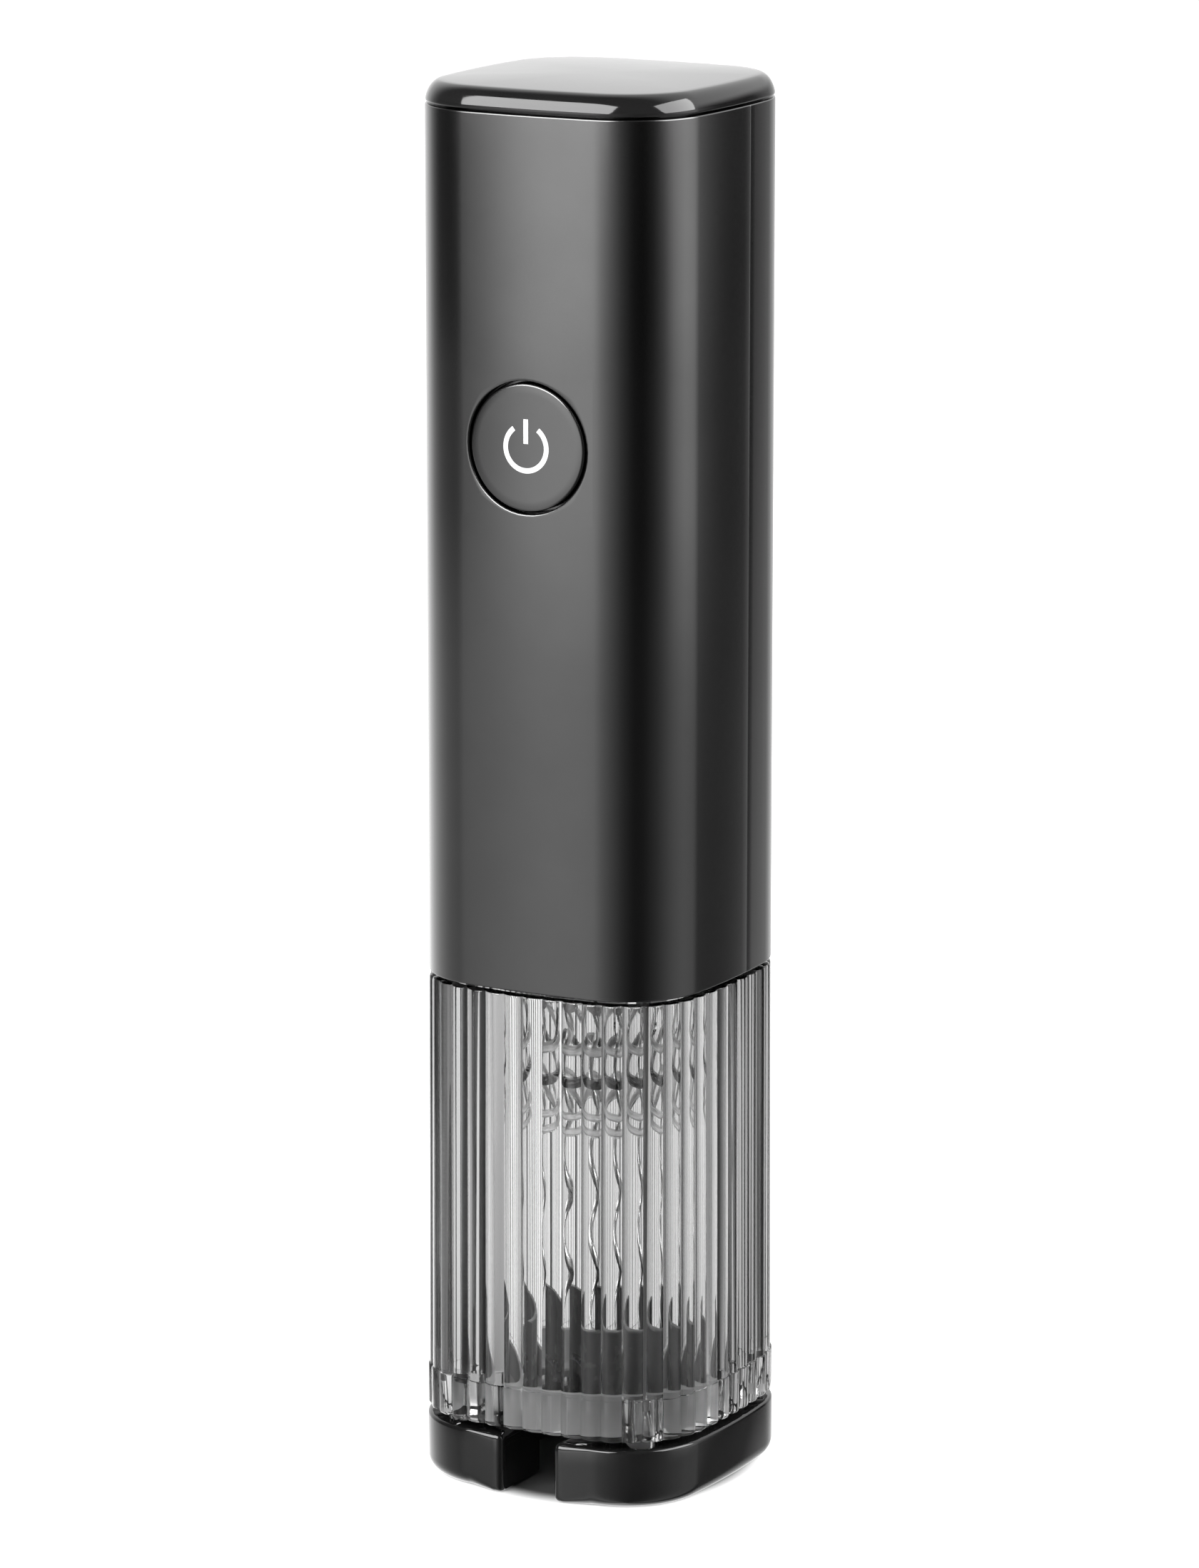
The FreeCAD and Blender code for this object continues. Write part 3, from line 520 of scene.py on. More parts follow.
def side_surface(x, grow):
    """How far the front face stands out at x."""
    return -(math.sqrt((SIDE_BOW + grow) ** 2 - x * x) - SIDE_AT)


PATCH = SIDE_BOW * math.sin(TILT)
PATCH_STEPS = 16


def hole_patch(maker, rings):
    """The stretch of wall round the button's hole.

    rings lists (radius, grow, share): share 0 is the square border and 1 the circle."""
    border = []
    for n in range(4 * PATCH_STEPS):
        side, step = divmod(n, PATCH_STEPS)
        angle = -TILT + 2 * TILT * step / PATCH_STEPS
        along = SIDE_BOW * math.sin(angle)
        rise = -PATCH + 2 * PATCH * step / PATCH_STEPS
        border.append(((along, -PATCH), (PATCH, rise), (-along, PATCH), (-PATCH, -rise))[side])
    rows = []
    for radius, grow, share in rings:
        flat = (SIDE_BOW + grow) / SIDE_BOW
        row = []
        for x, z in border:
            reach = radius / math.hypot(x, z)
            px = x * (flat + (reach - flat) * share)
            pz = z * (1 + (reach - 1) * share)
            row.append(Vector((px, side_surface(px, grow), BUTTON_Z + pz)))
        rows.append(row)
    maker.grid(rows, closed_columns=True)


def wall_rows(low, high, hole):
    """The wall's rows as (grow, height), up the outside and down the inside.

    With them comes how many rows round off its lower edge."""
    edge = 0.35
    middle = arc_steps(BUTTON_Z - PATCH, BUTTON_Z + PATCH, PATCH_STEPS) if hole else []
    rounding = [(edge * (1 - math.cos(a)), edge * (1 - math.sin(a)))
                for a in arc_steps(0, math.pi / 2, 4)]
    rows = [(-inset, low + drop) for inset, drop in reversed(rounding)]
    rows += [(0, z) for z in middle]
    rows += [(-inset, high - drop) for inset, drop in rounding]
    rows += [(-WALL, high), *((-WALL, z) for z in reversed(middle)), (-WALL, low)]
    return rows, len(rounding)


# The shells' parting edge as (distance from the seam, how far the surface drops there).
SEAM = ((0.0, 0.06), (0.03, 0.025), (0.07, 0.005), (0.12, 0.0))


def case_half(name, columns, hole):
    """The front shell, with the button's hole, or the rear cover."""
    rows, lower_rows = wall_rows(SHELL_LOW.z, SHELL_HIGH.z, hole)
    away = Vector((0, -1 if hole else 1, 0))

    def parting_edge(column, steps):
        """The seam's columns beside a column, each with its drop."""
        point, facing = column
        return [((point + away * back, facing), drop) for back, drop in steps]

    full = parting_edge(columns[0], SEAM)
    full += [(c, 0.0) for c in columns[1:-1]]
    full += parting_edge(columns[-1], reversed(SEAM))
    grid = []
    for grow, z in rows:
        outside = grow > -WALL + 0.01
        grid.append([set_out(c, grow - (drop if outside else 0), z) for c, drop in full])
    patch_column = next((n for n, (c, _) in enumerate(full)
                         if abs(c[0].x + PATCH) < 1e-3 and c[0].y < 0), None)
    patch_rows = (lower_rows, len(rows) - 1 - (PATCH_STEPS + 1))

    def in_patch(i, j):
        if not hole or not patch_column <= j < patch_column + PATCH_STEPS:
            return False
        return any(first <= i < first + PATCH_STEPS for first in patch_rows)

    maker = Maker()
    maker.grid(grid, closed_rows=True, skip=in_patch)
    for column in (0, -1):
        maker.polygon([row[column] for row in grid])
    if hole:
        rim = 0.4
        rings = [(HOLE_R + rim, 0, share) for share in arc_steps(0, 1, 8)[:-1]]
        rings += [(HOLE_R + rim * (1 - math.sin(a)), -rim * (1 - math.cos(a)), 1)
                  for a in arc_steps(0, math.pi / 2, 4)]
        rings += [(HOLE_R, -WALL, share) for share in arc_steps(1, 0, 8)]
        hole_patch(maker, rings)
    return maker.build(name)


def build_case():
    """Front shell and rear cover, which part on the sides."""
    split = math.asin(SPLIT / SIDE_BOW)
    front = side_run(2, -split, TILT, 8)[:-1] + corner_run(2, 28)[:-1]
    front += side_run(3, -TILT, TILT, PATCH_STEPS)[:-1] + corner_run(3, 28)[:-1]
    front += side_run(0, -TILT, split, 8)
    piece = case_half("front_case", front, True)
    finish_piece(piece, "opener", "shell_satin", SHELL, "front_shell")
    back = side_run(0, split, TILT, 4)[:-1] + corner_run(0, 28)[:-1]
    back += side_run(1, -TILT, TILT, 16)[:-1] + corner_run(1, 28)[:-1]
    back += side_run(2, -TILT, -split, 4)
    piece = case_half("rear_case", back, False)
    drill_rear(piece)
    finish_piece(piece, "opener", "shell_satin", SHELL, "rear_cover")


def cutting_solid(rings):
    """A solid that is only there to cut with."""
    maker = Maker()
    maker.capped(rings)
    return maker.build("cutter")


def drill(radius, front, back, x, z):
    """A cylinder that lies along y."""
    return cutting_solid([[Vector((x + radius * math.cos(a), y, z + radius * math.sin(a)))
                           for a in full_turn(40)] for y in (front, back)])


def upright_disc(radius, low, high, x, y):
    """A cylinder that stands along z."""
    return cutting_solid([[Vector((x + radius * math.cos(a), y + radius * math.sin(a), z))
                           for a in full_turn(64)] for z in (low, high)])


def slot_along(width, height, front, back, z):
    """A round-ended slot that lies along y."""
    rings = []
    for y in (front, back):
        ring = []
        for sign, first in ((1, -math.pi / 2), (-1, math.pi / 2)):
            for a in arc_steps(first, first + math.pi, 12):
                across = sign * (width - height) / 2 + height / 2 * math.cos(a)
                ring.append(Vector((across, y, z + height / 2 * math.sin(a))))
        rings.append(ring)
    return cutting_solid(rings)


def carve(piece, *cutters):
    """Cut shapes out of a piece for good."""
    for cutter in cutters:
        boolean = piece.modifiers.new("carve", "BOOLEAN")
        boolean.operation = "DIFFERENCE"
        boolean.solver = "EXACT"
        boolean.object = cutter
    bpy.context.view_layer.update()
    shape = piece.evaluated_get(bpy.context.evaluated_depsgraph_get())
    mesh = bpy.data.meshes.new_from_object(shape)
    piece.modifiers.clear()
    piece.data = mesh
    for cutter in cutters:
        bpy.data.objects.remove(cutter)


def shell_screw_spots():
    """Where the rear cover's screws stand, as (x, z)."""
    low, high = edges_of("shell_screws")
    return [(x, z) for x in (low.x + SCREW_HEAD_R, high.x - SCREW_HEAD_R)
            for z in (low.z + SCREW_HEAD_R, high.z - SCREW_HEAD_R)]


def drill_rear(piece):
    """Cut the inlet's opening and the screw holes."""
    low, high = edges_of("charging_inlet")
    width, height = high.x - low.x + 0.8, high.z - low.z + 0.6
    behind = 40
    cutters = [slot_along(width, height, 20, behind, (low.z + high.z) / 2)]
    cutters += [drill(SCREW_HOLE_R, 16, behind, x, z) for x, z in shell_screw_spots()]
    carve(piece, *cutters)


def build_screw_sleeves():
    """Sleeves that lead from the rear cover's holes down to the screws."""
    inner, outer, deep_end = SCREW_HOLE_R + 0.01, 2.7, 15.9
    maker = Maker()
    for x, z in shell_screw_spots():
        rows = []
        for radius, deep in ((inner, False), (inner, True), (outer, True), (outer, False)):
            ring = []
            for a in full_turn(40):
                px = x + radius * math.cos(a)
                across = abs(px) - CORNER_AT
                mid_wall = CORNER_AT + math.sqrt((CORNER - WALL / 2) ** 2 - across ** 2)
                ring.append(Vector((px, deep_end if deep else mid_wall,
                                    z + radius * math.sin(a))))
            rows.append(ring)
        maker.grid(rows, closed_rows=True, closed_columns=True)
    finish_piece(maker.build("screw_sleeves"), "opener", "shell_satin", DARK_PLASTIC)


def build_cap():
    """A low dome with a round edge, which stands just clear of the shells."""
    columns = whole_outline(20, 30)
    inset, edge = 0.05, 0.25
    rows = []
    for a in arc_steps(math.pi / 2, 0, 3):
        rows.append([set_out(c, -inset - edge * (1 - math.cos(a)),
                             CAP_BOTTOM + edge * (1 - math.sin(a))) for c in columns])
    inward, upward, lean = 3.0, 5.0, 0.35
    dome = 0.5
    for a in arc_steps(lean, math.pi / 2 - 0.1, 12):
        rows.append([set_out(c, -inset - inward * (math.cos(lean) - math.cos(a)),
                             CAP_TOP - dome - upward * (1 - math.sin(a))) for c in columns])
    edge_row = rows[-1]
    base = edge_row[0].z
    for share in arc_steps(0.96, 0.04, 16):
        lift = (CAP_TOP - base) * (1 - share ** 2.2)
        rows.append([Vector((p.x * share, p.y * share, base + lift)) for p in edge_row])
    maker = Maker()
    maker.grid(rows, closed_columns=True)
    maker.polygon(rows[-1])
    skirt_depth = 3.5
    under = [set_out(c, -WALL, CAP_BOTTOM) for c in columns]
    skirt = [set_out(c, -WALL, CAP_BOTTOM - skirt_depth) for c in columns]
    maker.grid([skirt, under, rows[0]], closed_columns=True)
    maker.polygon(skirt)
    finish_piece(maker.build("cap"), "opener", "cap_gloss", CAP, "top_cap")


# ---------------------------------------------------------------- the button


# The button's back as (radius, depth): skirt, flange, hollow and stem.
BUTTON_BACK = ((BUTTON_R, -23.7), (BUTTON_R + 1.4, -23.7), (BUTTON_R + 1.4, -22.9),
               (BUTTON_R - 1.6, -22.9), (BUTTON_R - 1.6, -25.7), (2.0, -25.7), (2.0, -16.9))


def build_button():
    """A face that follows the case's bow, with a round edge, over the button's back."""
    sunk, edge = 0.05, 0.5
    middle, reach = 0.6, 10.4
    rings = [(middle + reach * n / 8, -sunk) for n in range(8)]
    rings += [(BUTTON_R - edge * (1 - math.sin(a)), -sunk - edge * (1 - math.cos(a)))
              for a in arc_steps(0, math.pi / 2, 6)]
    turn = full_turn(96)
    rows = []
    for radius, grow in rings:
        rows.append([Vector((radius * math.cos(a), side_surface(radius * math.cos(a), grow),
                             BUTTON_Z + radius * math.sin(a))) for a in turn])
    for radius, y in BUTTON_BACK:
        rows.append([Vector((radius * math.cos(a), y, BUTTON_Z + radius * math.sin(a)))
                     for a in turn])
    maker = Maker()
    maker.capped(rows)
    finish_piece(maker.build("button_face"), "button", "button_satin", BUTTON, "button_cap")


def build_spring():
    """The button's spring in two lengths, so that it closes up when the button goes in."""
    low, high = edges_of("button_spring")
    wire, pitch, orbit = 0.3, 1.9, 4.6
    front, rear = low.y + wire, high.y - wire
    middle, half_gap = (front + rear) / 2, 0.1
    lengths = (("spring_front", "button", front, middle - half_gap),
               ("spring_rear", "opener", middle + half_gap, rear))
    for name, body, start, end in lengths:
        rows = []
        for y in arc_steps(start, end, 160):
            a = 2 * math.pi * y / pitch
            outward = Vector((math.cos(a), 0, math.sin(a)))
            along = Vector((-orbit * math.sin(a), pitch / 2 / math.pi, orbit * math.cos(a)))
            centre = outward * orbit + Vector((0, y, BUTTON_Z))
            rows.append(wire_ring(centre, along, outward, wire, 12))
        maker = Maker()
        maker.capped(rows)
        replaced = ["button_spring"] if body == "opener" else []
        finish_piece(maker.build(name), body, "spring_steel", STEEL, *replaced)


def icon_stroke(maker, path, width):
    """A printed stroke that follows the button's face. path holds (x, z) points."""
    rows = []
    for n, (x, z) in enumerate(path):
        before = path[max(n - 1, 0)]
        after = path[min(n + 1, len(path) - 1)]
        dx, dz = after[0] - before[0], after[1] - before[1]
        size = math.hypot(dx, dz)
        side = (-dz / size * width / 2, dx / size * width / 2)
        row = []
        for way, grow in ((1, -ICON_DEPTH), (1, 0.0), (-1, 0.0), (-1, -ICON_DEPTH)):
            px, pz = x + way * side[0], z + way * side[1]
            row.append(Vector((px, side_surface(px, grow), BUTTON_Z + pz)))
        rows.append(row)
    maker.capped(rows)


def build_icon():
    """A plain power sign: a broken ring and a bar."""
    ring, width, gap = 4.1, 0.95, math.radians(36)
    bar_low, bar_high = 0.7, 5.1
    maker = Maker()
    sweep = arc_steps(math.pi / 2 + gap, math.pi / 2 + 2 * math.pi - gap, 60)
    icon_stroke(maker, [(ring * math.cos(a), ring * math.sin(a)) for a in sweep], width)
    icon_stroke(maker, [(0, z) for z in arc_steps(bar_low, bar_high, 6)], width)
    finish_piece(maker.build("button_icon"), "button", "button_satin", MARK)


# ---------------------------------------------------------------- the chamber


def build_chamber():
    """Ribs side by side all the way round, with a collar at the foot."""
    # Where the points lie across a flute, closer together at its grooves.
    shares = (0, 0.04, 0.1, 0.18, 0.28, 0.39, 0.5, 0.61, 0.72, 0.82, 0.9, 0.96)
    columns = []
    for flute in range(FLUTES):
        for share in shares:
            rise = -FLUTE_DEPTH * abs(2 * share - 1) ** 2.4
            columns.append((outline_share((flute + share) / FLUTES), rise))

    def fluted(grow, z):
        return [set_out(c, grow + rise, z) for c, rise in columns]

    def plain(grow, z):
        return [set_out(c, grow, z) for c, _ in columns]

    def bored(z):
        """The round bore, with the screws' channels in its corners."""
        ring = []
        for (point, _), _ in columns:
            heading = math.atan2(point.y, point.x)
            off = (heading % (math.pi / 2)) - math.pi / 4
            size = BORE
            reach = CHANNEL ** 2 - (CHANNEL_AT * math.sin(off)) ** 2
            if reach > 0:
                size = max(BORE, CHANNEL_AT * math.cos(off) + math.sqrt(reach))
            ring.append(Vector((size * math.cos(heading), size * math.sin(heading), z)))
        return ring

    def circle(size, z):
        ring = []
        for (point, _), _ in columns:
            ring.append(Vector((point.x, point.y, 0)).normalized() * size + Vector((0, 0, z)))
        return ring

    flare = 0.3
    throat, neck_bore = 19.5, 21.8
    rows = [
        fluted(COLLAR_GROW - 0.45, COLLAR_BOTTOM),
        fluted(COLLAR_GROW - 0.15, COLLAR_BOTTOM + 0.12),
        fluted(COLLAR_GROW, COLLAR_BOTTOM + 0.45),
        fluted(COLLAR_GROW, COLLAR_TOP - 0.35),
        fluted(COLLAR_GROW - 0.1, COLLAR_TOP - 0.1),
        fluted(flare - 0.02, COLLAR_TOP),
        fluted(flare - 0.06, COLLAR_TOP + 0.2),
        fluted(flare, COLLAR_TOP + 0.5),
        fluted(flare / 2, (COLLAR_TOP + CHAMBER_TOP) / 2),
        fluted(0, CHAMBER_TOP - 0.4),
        fluted(-0.12, CHAMBER_TOP - 0.12),
        fluted(-0.4, CHAMBER_TOP),
        plain(-WALL - 0.15, CHAMBER_TOP),
        plain(-WALL - 0.15, NECK_TOP),
        circle(neck_bore, NECK_TOP),
        circle(neck_bore, GUIDE_SEAT),
        circle(throat, GUIDE_SEAT),
        circle(throat, CHAMBER_TOP - 0.2),
        circle(BORE, CHAMBER_TOP - 0.2),
        circle(BORE, CHANNEL_TOP),
        bored(CHANNEL_TOP),
        bored(COLLAR_BOTTOM),
    ]
    maker = Maker()
    maker.grid(rows, closed_rows=True, closed_columns=True)
    finish_piece(maker.build("fluted_chamber"), "opener", "smoke_clear", SMOKE, "chamber")


def window_cutter(angle, width, low, high, corner):
    """A block with round corners that cuts a window through the cork guide."""
    turn_x = Vector((math.cos(angle), math.sin(angle), 0))
    turn_y = Vector((-math.sin(angle), math.cos(angle), 0))
    spots = ((1, 1, 0), (-1, 1, 1), (-1, -1, 2), (1, -1, 3))
    rows = []
    for reach in (8, 16):
        row = []
        for side, end, quarter in spots:
            for a in arc_steps(quarter * math.pi / 2, (quarter + 1) * math.pi / 2, 6):
                across = side * (width / 2 - corner) + corner * math.cos(a)
                z = (high - corner if end > 0 else low + corner) + corner * math.sin(a)
                row.append(turn_x * reach + turn_y * across + Vector((0, 0, z)))
        rows.append(row)
    return cutting_solid(rows)


def build_cork_guide():
    """A clear sleeve that centres the cork, with rims and three windows."""
    inner, outer, proud, flange = 11.0, 12.3, 0.8, 21.7
    bottom, top = 64.0, 97.5
    profile = [(inner, bottom + 0.2), (inner + 0.2, bottom)]
    for middle, half in sorted((*PAINTED_HIGHLIGHT_RIMS, DARK_RIM)):
        for a in arc_steps(-math.pi / 2, math.pi / 2, 6):
            profile.append((outer + proud * math.cos(a), middle + half * math.sin(a)))
    profile += [(outer, GUIDE_SEAT), (flange, GUIDE_SEAT), (flange, top), (inner, top)]
    rows = []
    for radius, z in profile:
        rows.append([Vector((radius * math.cos(a), radius * math.sin(a), z))
                     for a in full_turn(120)])
    maker = Maker()
    maker.grid(rows, closed_rows=True, closed_columns=True)
    piece = maker.build("cork_sleeve")
    width, low, high, corner = 16, 80.2, 92, 4
    carve(piece, *[window_cutter(math.radians(a), width, low, high, corner)
                   for a in (30, 150, 270)])
    finish_piece(piece, "opener", "clear_plastic", CORK, "cork_guide")


def build_worm():
    """A steel wire helix that runs out to a point."""
    orbit, wire, pitch = 3.1, 1.45, 14.3
    bottom, top, taper = 27.0, 92.6, 9.0
    tip = 0.06
    rows = []
    for z in arc_steps(bottom, top, 420):
        a = 2 * math.pi * z / pitch
        centre = Vector((orbit * math.cos(a), orbit * math.sin(a), z))
        along = Vector((-orbit * math.sin(a), orbit * math.cos(a), pitch / 2 / math.pi))
        outward = Vector((math.cos(a), math.sin(a), 0))
        size = wire * min(1.0, tip + (1 - tip) * math.sqrt((z - bottom) / taper))
        rows.append(wire_ring(centre, along, outward, size, 28))
    maker = Maker()
    maker.capped(rows)
    finish_piece(maker.build("worm_wire"), "output", "worm_steel", WORM, "worm")


# ---------------------------------------------------------------- the foil cutter


def jaw_path(slot, back, bore, round_off):
    """The right jaw's outline, anticlockwise, as (point, way out, share of the rounding)."""
    path = []
    bore_front = -math.sqrt(bore ** 2 - slot ** 2)
    bore_back = math.sqrt(bore ** 2 - back ** 2)
    reach = SIDE_BOW + BASE_GROW - round_off
    centre = Vector((slot + round_off, SIDE_AT - math.sqrt(reach ** 2 - (slot + round_off) ** 2)))
    small = 0.35
    for y in arc_steps(bore_front, centre.y, 8)[:-1]:
        path.append((Vector((slot, y)), Vector((-1, 0)), small))
    away = centre - Vector((0, SIDE_AT))
    last = math.atan2(away.y, away.x)
    for n, a in enumerate(arc_steps(-math.pi, last, 8)):
        way = Vector((math.cos(a), math.sin(a)))
        path.append((centre + way * round_off, way, small + 0.1 * n / 8))
    first = math.asin(path[-1][0].x / (SIDE_BOW + BASE_GROW))
    outer = side_run(3, first, TILT, 10)[1:-1] + corner_run(3, 26)[:-1]
    outer += side_run(0, -TILT, TILT, 16)[:-1] + corner_run(0, 26)[:-1]
    rear = math.asin((back + 0.5) / (SIDE_BOW + BASE_GROW))
    outer += side_run(1, -TILT, -rear, 6)
    # The rounding fades toward the slot and toward the gap at the rear.
    for n, (point, way) in enumerate(outer):
        at = point + way * BASE_GROW
        share = min(1.0, 0.4 + 0.6 * n / 8, 0.3 + 0.7 * (len(outer) - 1 - n) / 6)
        path.append((Vector((at.x, at.y)), Vector((way.x, way.y)), share))
    y_rear = path[-1][0].y - 0.5
    for y in arc_steps(y_rear, bore_back, 6)[:-1]:
        path.append((Vector((back, y)), Vector((-1, 0)), small))
    start = math.atan2(bore_back, back)
    for a in arc_steps(start, math.atan2(bore_front, slot), 40)[:-1]:
        way = Vector((-math.cos(a), -math.sin(a)))
        path.append((Vector((bore * math.cos(a), bore * math.sin(a))), way, small * 0.7))
    return path


def swept_block(maker, path, top, lower_round, upper_round):
    """A block with rounded edges over a closed outline."""
    rows = []
    for a in arc_steps(math.pi / 2, 0, 7):
        row = []
        for point, way, share in path:
            size = lower_round * share
            place = point - way * size * (1 - math.cos(a))
            row.append(Vector((*place, size * (1 - math.sin(a)))))
        rows.append(row)
    for a in arc_steps(0, math.pi / 2, 5):
        row = []
        for point, way, share in path:
            size = upper_round * (2.0 - 1.2 * share)
            place = point - way * size * (1 - math.cos(a))
            row.append(Vector((*place, top - size * (1 - math.sin(a)))))
        rows.append(row)
    maker.capped(rows)


def ring_sector(maker, inner, outer, bottom, top, start, end):
    """Part of a tube, with a small round on its upper outer edge."""
    edge = min(0.4, (outer - inner) / 3)
    section = [(inner, bottom), (outer, bottom)]
    section += [(outer - edge * (1 - math.cos(a)), top - edge * (1 - math.sin(a)))
                for a in arc_steps(0, math.pi / 2, 4)]
    section.append((inner, top))
    rows = [[Vector((r * math.cos(a), r * math.sin(a), z)) for r, z in section]
            for a in arc_steps(start, end, 40)]
    maker.capped(rows)


def mirror(piece):
    """Turn a right-hand piece into a left-hand one."""
    work = bmesh.new()
    work.from_mesh(piece.data)
    for vertex in work.verts:
        vertex.co.x = -vertex.co.x
    bmesh.ops.reverse_faces(work, faces=work.faces)
    work.to_mesh(piece.data)
    work.free()


def build_foil_cutter():
    """Two jaws, each a block with pockets for its wheels and a tower with a ledge."""
    slot, back, bore = 5.25, 6.8, 14.8
    round_off, lower_round, upper_round = 1.3, 3.0, 0.95
    pocket, pocket_half = 5.2, 0.95
    tower_outer, tower_foot = 16.4, BASE_TOP - 0.5
    ledge_inner, ledge_outer, ledge_share = 10.0, bore + 0.2, 0.93
    start, end = math.atan2(-13.84, slot), math.atan2(13.15, back)
    low, high = edges_of("cutting_wheel_right_1")
    wheel_z = (low.z + high.z) / 2
    wheels = []
    for n in (1, 2):
        low, high = edges_of(f"cutting_wheel_right_{n}")
        wheels.append(((low.x + high.x) / 2, (low.y + high.y) / 2))
    for side in ("right", "left"):
        maker = Maker()
        path = jaw_path(slot, back, bore, round_off)
        swept_block(maker, path, BASE_TOP, lower_round, upper_round)
        block = maker.build(f"cutter_block_{side}")
        carve(block, *[upright_disc(pocket, wheel_z - pocket_half, wheel_z + pocket_half, x, y)
                       for x, y in wheels])
        maker = Maker()
        ring_sector(maker, bore, tower_outer, tower_foot, JAW_HIGH.z, start, end)
        ring_sector(maker, ledge_inner, ledge_outer, 16.0, 18.0,
                    start * ledge_share, end * ledge_share)
        tower = maker.build(f"cutter_tower_{side}")
        if side == "left":
            mirror(block)
            mirror(tower)
        finish_piece(block, f"jaw_{side}", "cutter_gloss", CUTTER, f"jaw_{side}")
        finish_piece(tower, f"jaw_{side}", "cutter_gloss", TOWER)


# ---------------------------------------------------------------- camera, light and floor


FLOOR_GLOW = 0.55


def build_floor():
    """A pale floor with a painted shadow that makes it dark under the base, with its sizes in metres.
    """
    half = 3.5
    shadow_full_to, shadow_gone_from = 0.023, 0.031
    maker = Maker()
    maker.polygon([Vector((x * half / MM, y * half / MM, 0))
                   for x, y in ((-1, -1), (1, -1), (1, 1), (-1, 1))])
    floor = maker.build("floor")
    made, tree, shader = new_material("floor")
    put(shader, Roughness=0.9, Emission_Color=(1, 1, 1, 1))
    where = tree.nodes.new("ShaderNodeTexCoord")
    away = tree.nodes.new("ShaderNodeVectorMath")
    away.operation = "LENGTH"
    tree.links.new(where.outputs["Object"], away.inputs[0])
    # Painted shadow: under the base the floor's colour goes to near black and its glow to nothing.
    outside_painted_shadow = spread(tree, away.outputs["Value"], shadow_full_to, shadow_gone_from)
    pale = tinted(tree, noise(tree, 3, 2), grey(0.86), grey(0.88))
    tone = blend(tree, outside_painted_shadow, (*grey(0.03), 1), pale)
    tree.links.new(tone, shader.inputs["Base Color"])
    glow = compute(tree, "MULTIPLY", outside_painted_shadow, FLOOR_GLOW)
    tree.links.new(glow, shader.inputs["Emission Strength"])
    made.cycles.emission_sampling = "NONE"
    floor.data.materials.append(made)
    floor.visible_glossy = False
    floor.visible_shadow = False
    floor.visible_transmission = False


def build_shade():
    """A dark patch under the base, so that the slot mirrors no light from below."""
    radius, level = 26, -0.2
    maker = Maker()
    maker.polygon([Vector((radius * math.cos(a), radius * math.sin(a), level))
                   for a in full_turn(48)])
    patch = maker.build("shade_patch")
    made, tree, shader = new_material("shade_patch")
    tone = noise(tree, 30, 2)
    tree.links.new(tinted(tree, tone, grey(0.01), grey(0.02)), shader.inputs["Base Color"])
    put(shader, Roughness=0.9)
    patch.data.materials.append(made)
    patch.visible_camera = False
    patch.visible_diffuse = False
    patch.visible_shadow = False


# The studio round the opener, as (azimuth, brightness). Azimuth 0 is in front of it, 90 to its
# right. The first is seen level and a little above, the second below.
STUDIO_HIGH = (
    (-180, 0.85), (-151, 1.25), (-130, 1.45), (-112, 1.25), (-98, 0.5), (-85, 0.1), (-60, 0.04),
    (-43, 0.05), (-36, 0.7), (-29, 1.95), (-18, 2.05), (-8, 1.15), (5, 0.6), (20, 0.2),
    (35, 0.03), (50, 0.0), (65, 0.05), (80, 0.28), (97, 1.1), (113, 1.5), (131, 1.3),
    (138, 0.6), (146, 0.0), (157, 0.0), (162, 0.5), (170, 0.75), (180, 0.85),
)
STUDIO_LOW = (
    (-180, 0.9), (-163, 1.15), (-140, 1.85), (-112, 1.6), (-90, 1.0), (-72, 0.6), (-50, 0.42),
    (-36, 0.75), (-26, 1.0), (-16, 0.8), (-8, 0.55), (6, 0.33), (22, 0.13), (38, 0.04),
    (52, 0.05), (70, 0.15), (95, 0.4), (113, 0.52), (135, 0.42), (144, 0.05), (156, 0.1),
    (165, 0.6), (180, 0.9),
)
# The brightness of white on the ramps, and the sky's as shares of it.
STUDIO_PEAK = 2.2
SKY_FRONT = 0.05
SKY_BACK = 0.6


def studio_ramp(tree, turn, stops):
    """A colour ramp all the way round. Every stop is placed before any is coloured."""
    made = tree.nodes.new("ShaderNodeValToRGB")
    ramp = made.color_ramp
    while len(ramp.elements) < len(stops):
        ramp.elements.new(0.5)
    for element, (azimuth, _) in zip(ramp.elements, stops):
        element.position = (azimuth + 180) / 360
    for element, (_, amount) in zip(ramp.elements, stops):
        element.color = (*grey(amount / STUDIO_PEAK), 1)
    tree.links.new(turn, made.inputs["Fac"])
    return made.outputs["Color"]


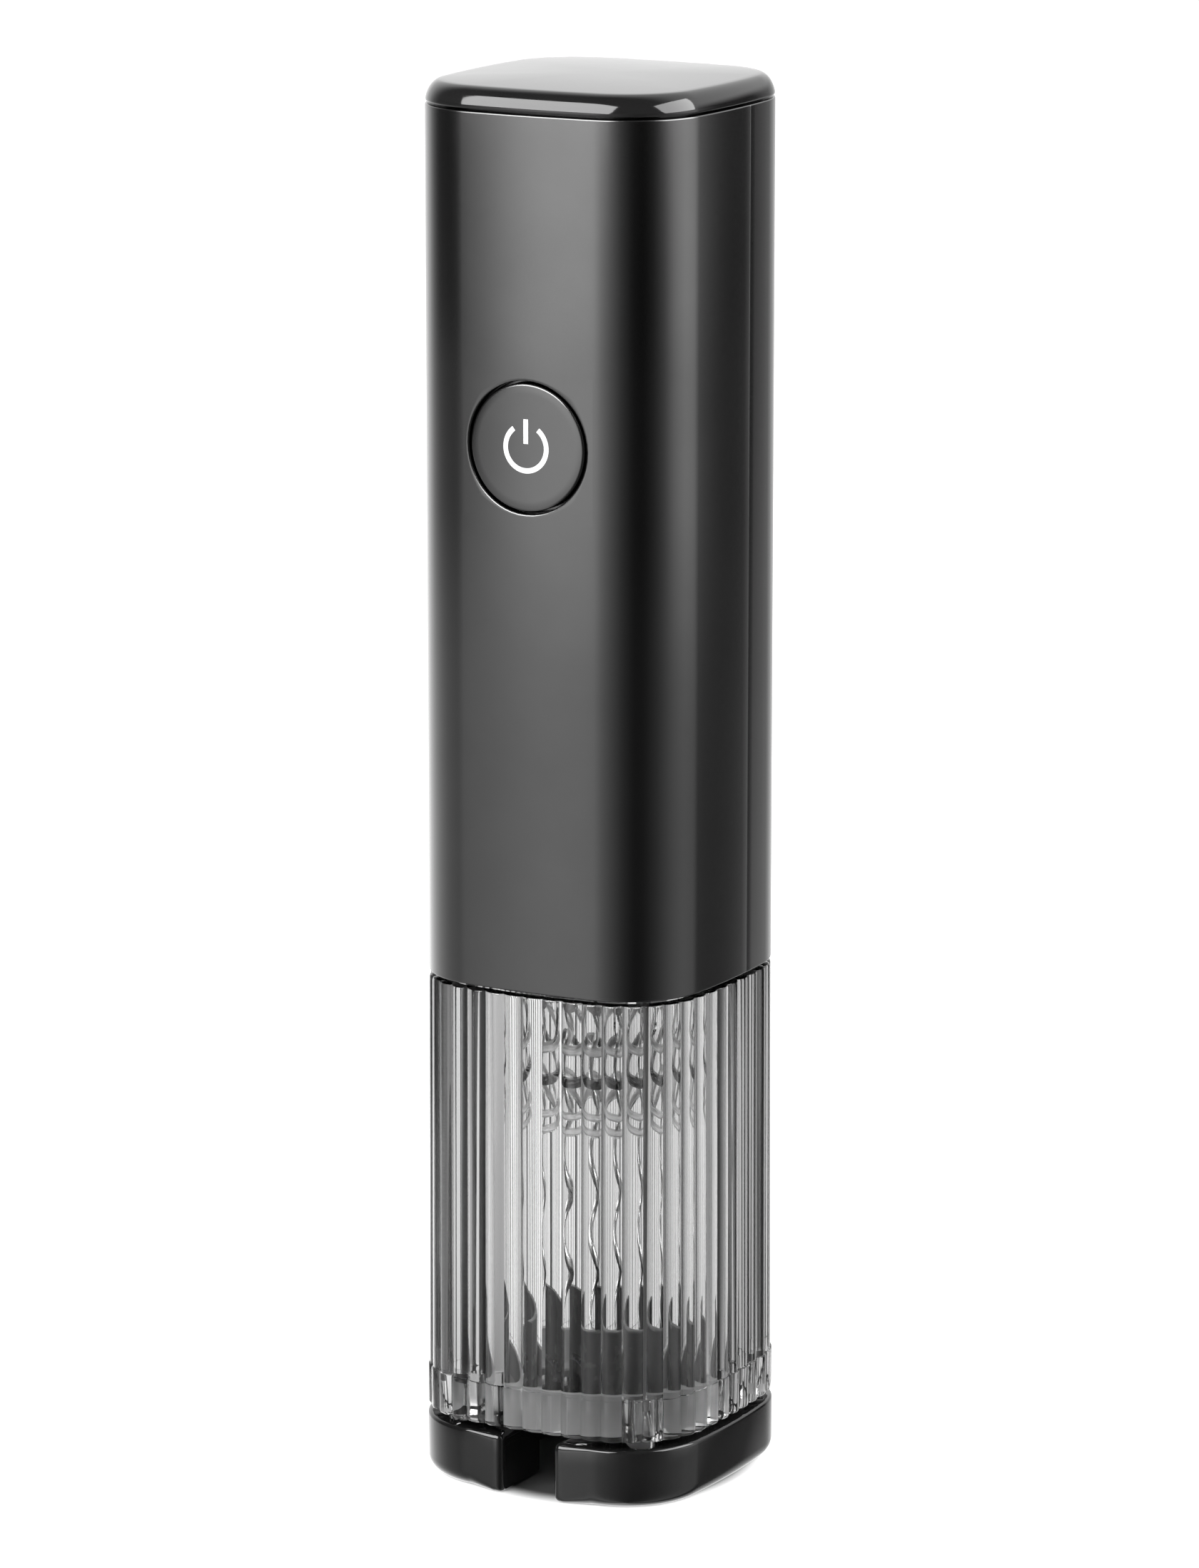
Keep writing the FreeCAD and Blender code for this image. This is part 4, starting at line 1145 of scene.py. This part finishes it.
def build_studio():
    """Surroundings in two rows of bands, with a sky above that is brighter behind."""
    world = bpy.data.worlds.new("studio")
    bpy.context.scene.world = world
    bpy.context.scene.view_settings.view_transform = "Standard"
    world.use_nodes = True
    tree = world.node_tree
    where = tree.nodes.new("ShaderNodeTexCoord")
    parts = tree.nodes.new("ShaderNodeSeparateXYZ")
    tree.links.new(where.outputs["Generated"], parts.inputs[0])
    x, y, z = parts.outputs
    azimuth = compute(tree, "ARCTAN2", x, compute(tree, "MULTIPLY", y, -1))
    turn = compute(tree, "ADD", compute(tree, "DIVIDE", azimuth, 2 * math.pi), 0.5)
    high = studio_ramp(tree, turn, STUDIO_HIGH)
    low = studio_ramp(tree, turn, STUDIO_LOW)
    sides = blend(tree, spread(tree, z, -0.25, -0.12), low, high)
    sky = blend(tree, spread(tree, y, -0.1, 0.5), (*grey(SKY_FRONT), 1), (*grey(SKY_BACK), 1))
    background = tree.nodes["Background"]
    tree.links.new(blend(tree, spread(tree, z, 0.12, 0.3), sides, sky),
                   background.inputs["Color"])
    background.inputs["Strength"].default_value = STUDIO_PEAK


def way_to(azimuth, elevation):
    """The way from the opener, in degrees. Azimuth 0 is in front, 90 to its right."""
    a, e = math.radians(azimuth), math.radians(elevation)
    return Vector((math.sin(a) * math.cos(e), -math.cos(a) * math.cos(e), math.sin(e)))


def softbox(name, azimuth, elevation, distance, width, height, watts):
    """A rectangular light that faces the opener, in metres and watts."""
    target = Vector((0, 0, 0.13))
    away = way_to(azimuth, elevation)
    data = bpy.data.lights.new(name, "AREA")
    data.shape = "RECTANGLE"
    data.size = width
    data.size_y = height
    data.energy = watts
    light = bpy.data.objects.new(name, data)
    light.location = target + away * distance
    light.rotation_euler = (-away).to_track_quat("-Z", "Y").to_euler()
    light.visible_camera = False
    bpy.context.scene.collection.objects.link(light)


def build_camera():
    """A long lens in front, to the right and a little above, in metres and degrees."""
    azimuth, elevation, distance = 28.72, 12.33, 1.297
    middle = Vector((0, 0, 0.1285))
    aim = Vector((-0.0002, -0.0001, 0.1276))
    data = bpy.data.cameras.new("camera")
    data.sensor_fit = "VERTICAL"
    data.sensor_height = 36
    data.lens = 164.15
    camera = bpy.data.objects.new("camera", data)
    camera.location = middle + way_to(azimuth, elevation) * distance
    look = aim - camera.location
    camera.rotation_euler = look.to_track_quat("-Z", "Y").to_euler()
    bpy.context.scene.collection.objects.link(camera)
    bpy.context.scene.camera = camera


dress_frame()
build_case()
build_screw_sleeves()
build_cap()
build_button()
build_icon()
build_spring()
build_chamber()
build_cork_guide()
build_worm()
build_foil_cutter()
build_floor()
build_shade()
build_studio()
build_camera()
softbox("key", -18, 34, 1.0, 0.85, 0.6, 15)
softbox("right", 105, 33, 1.0, 0.95, 0.6, 12)
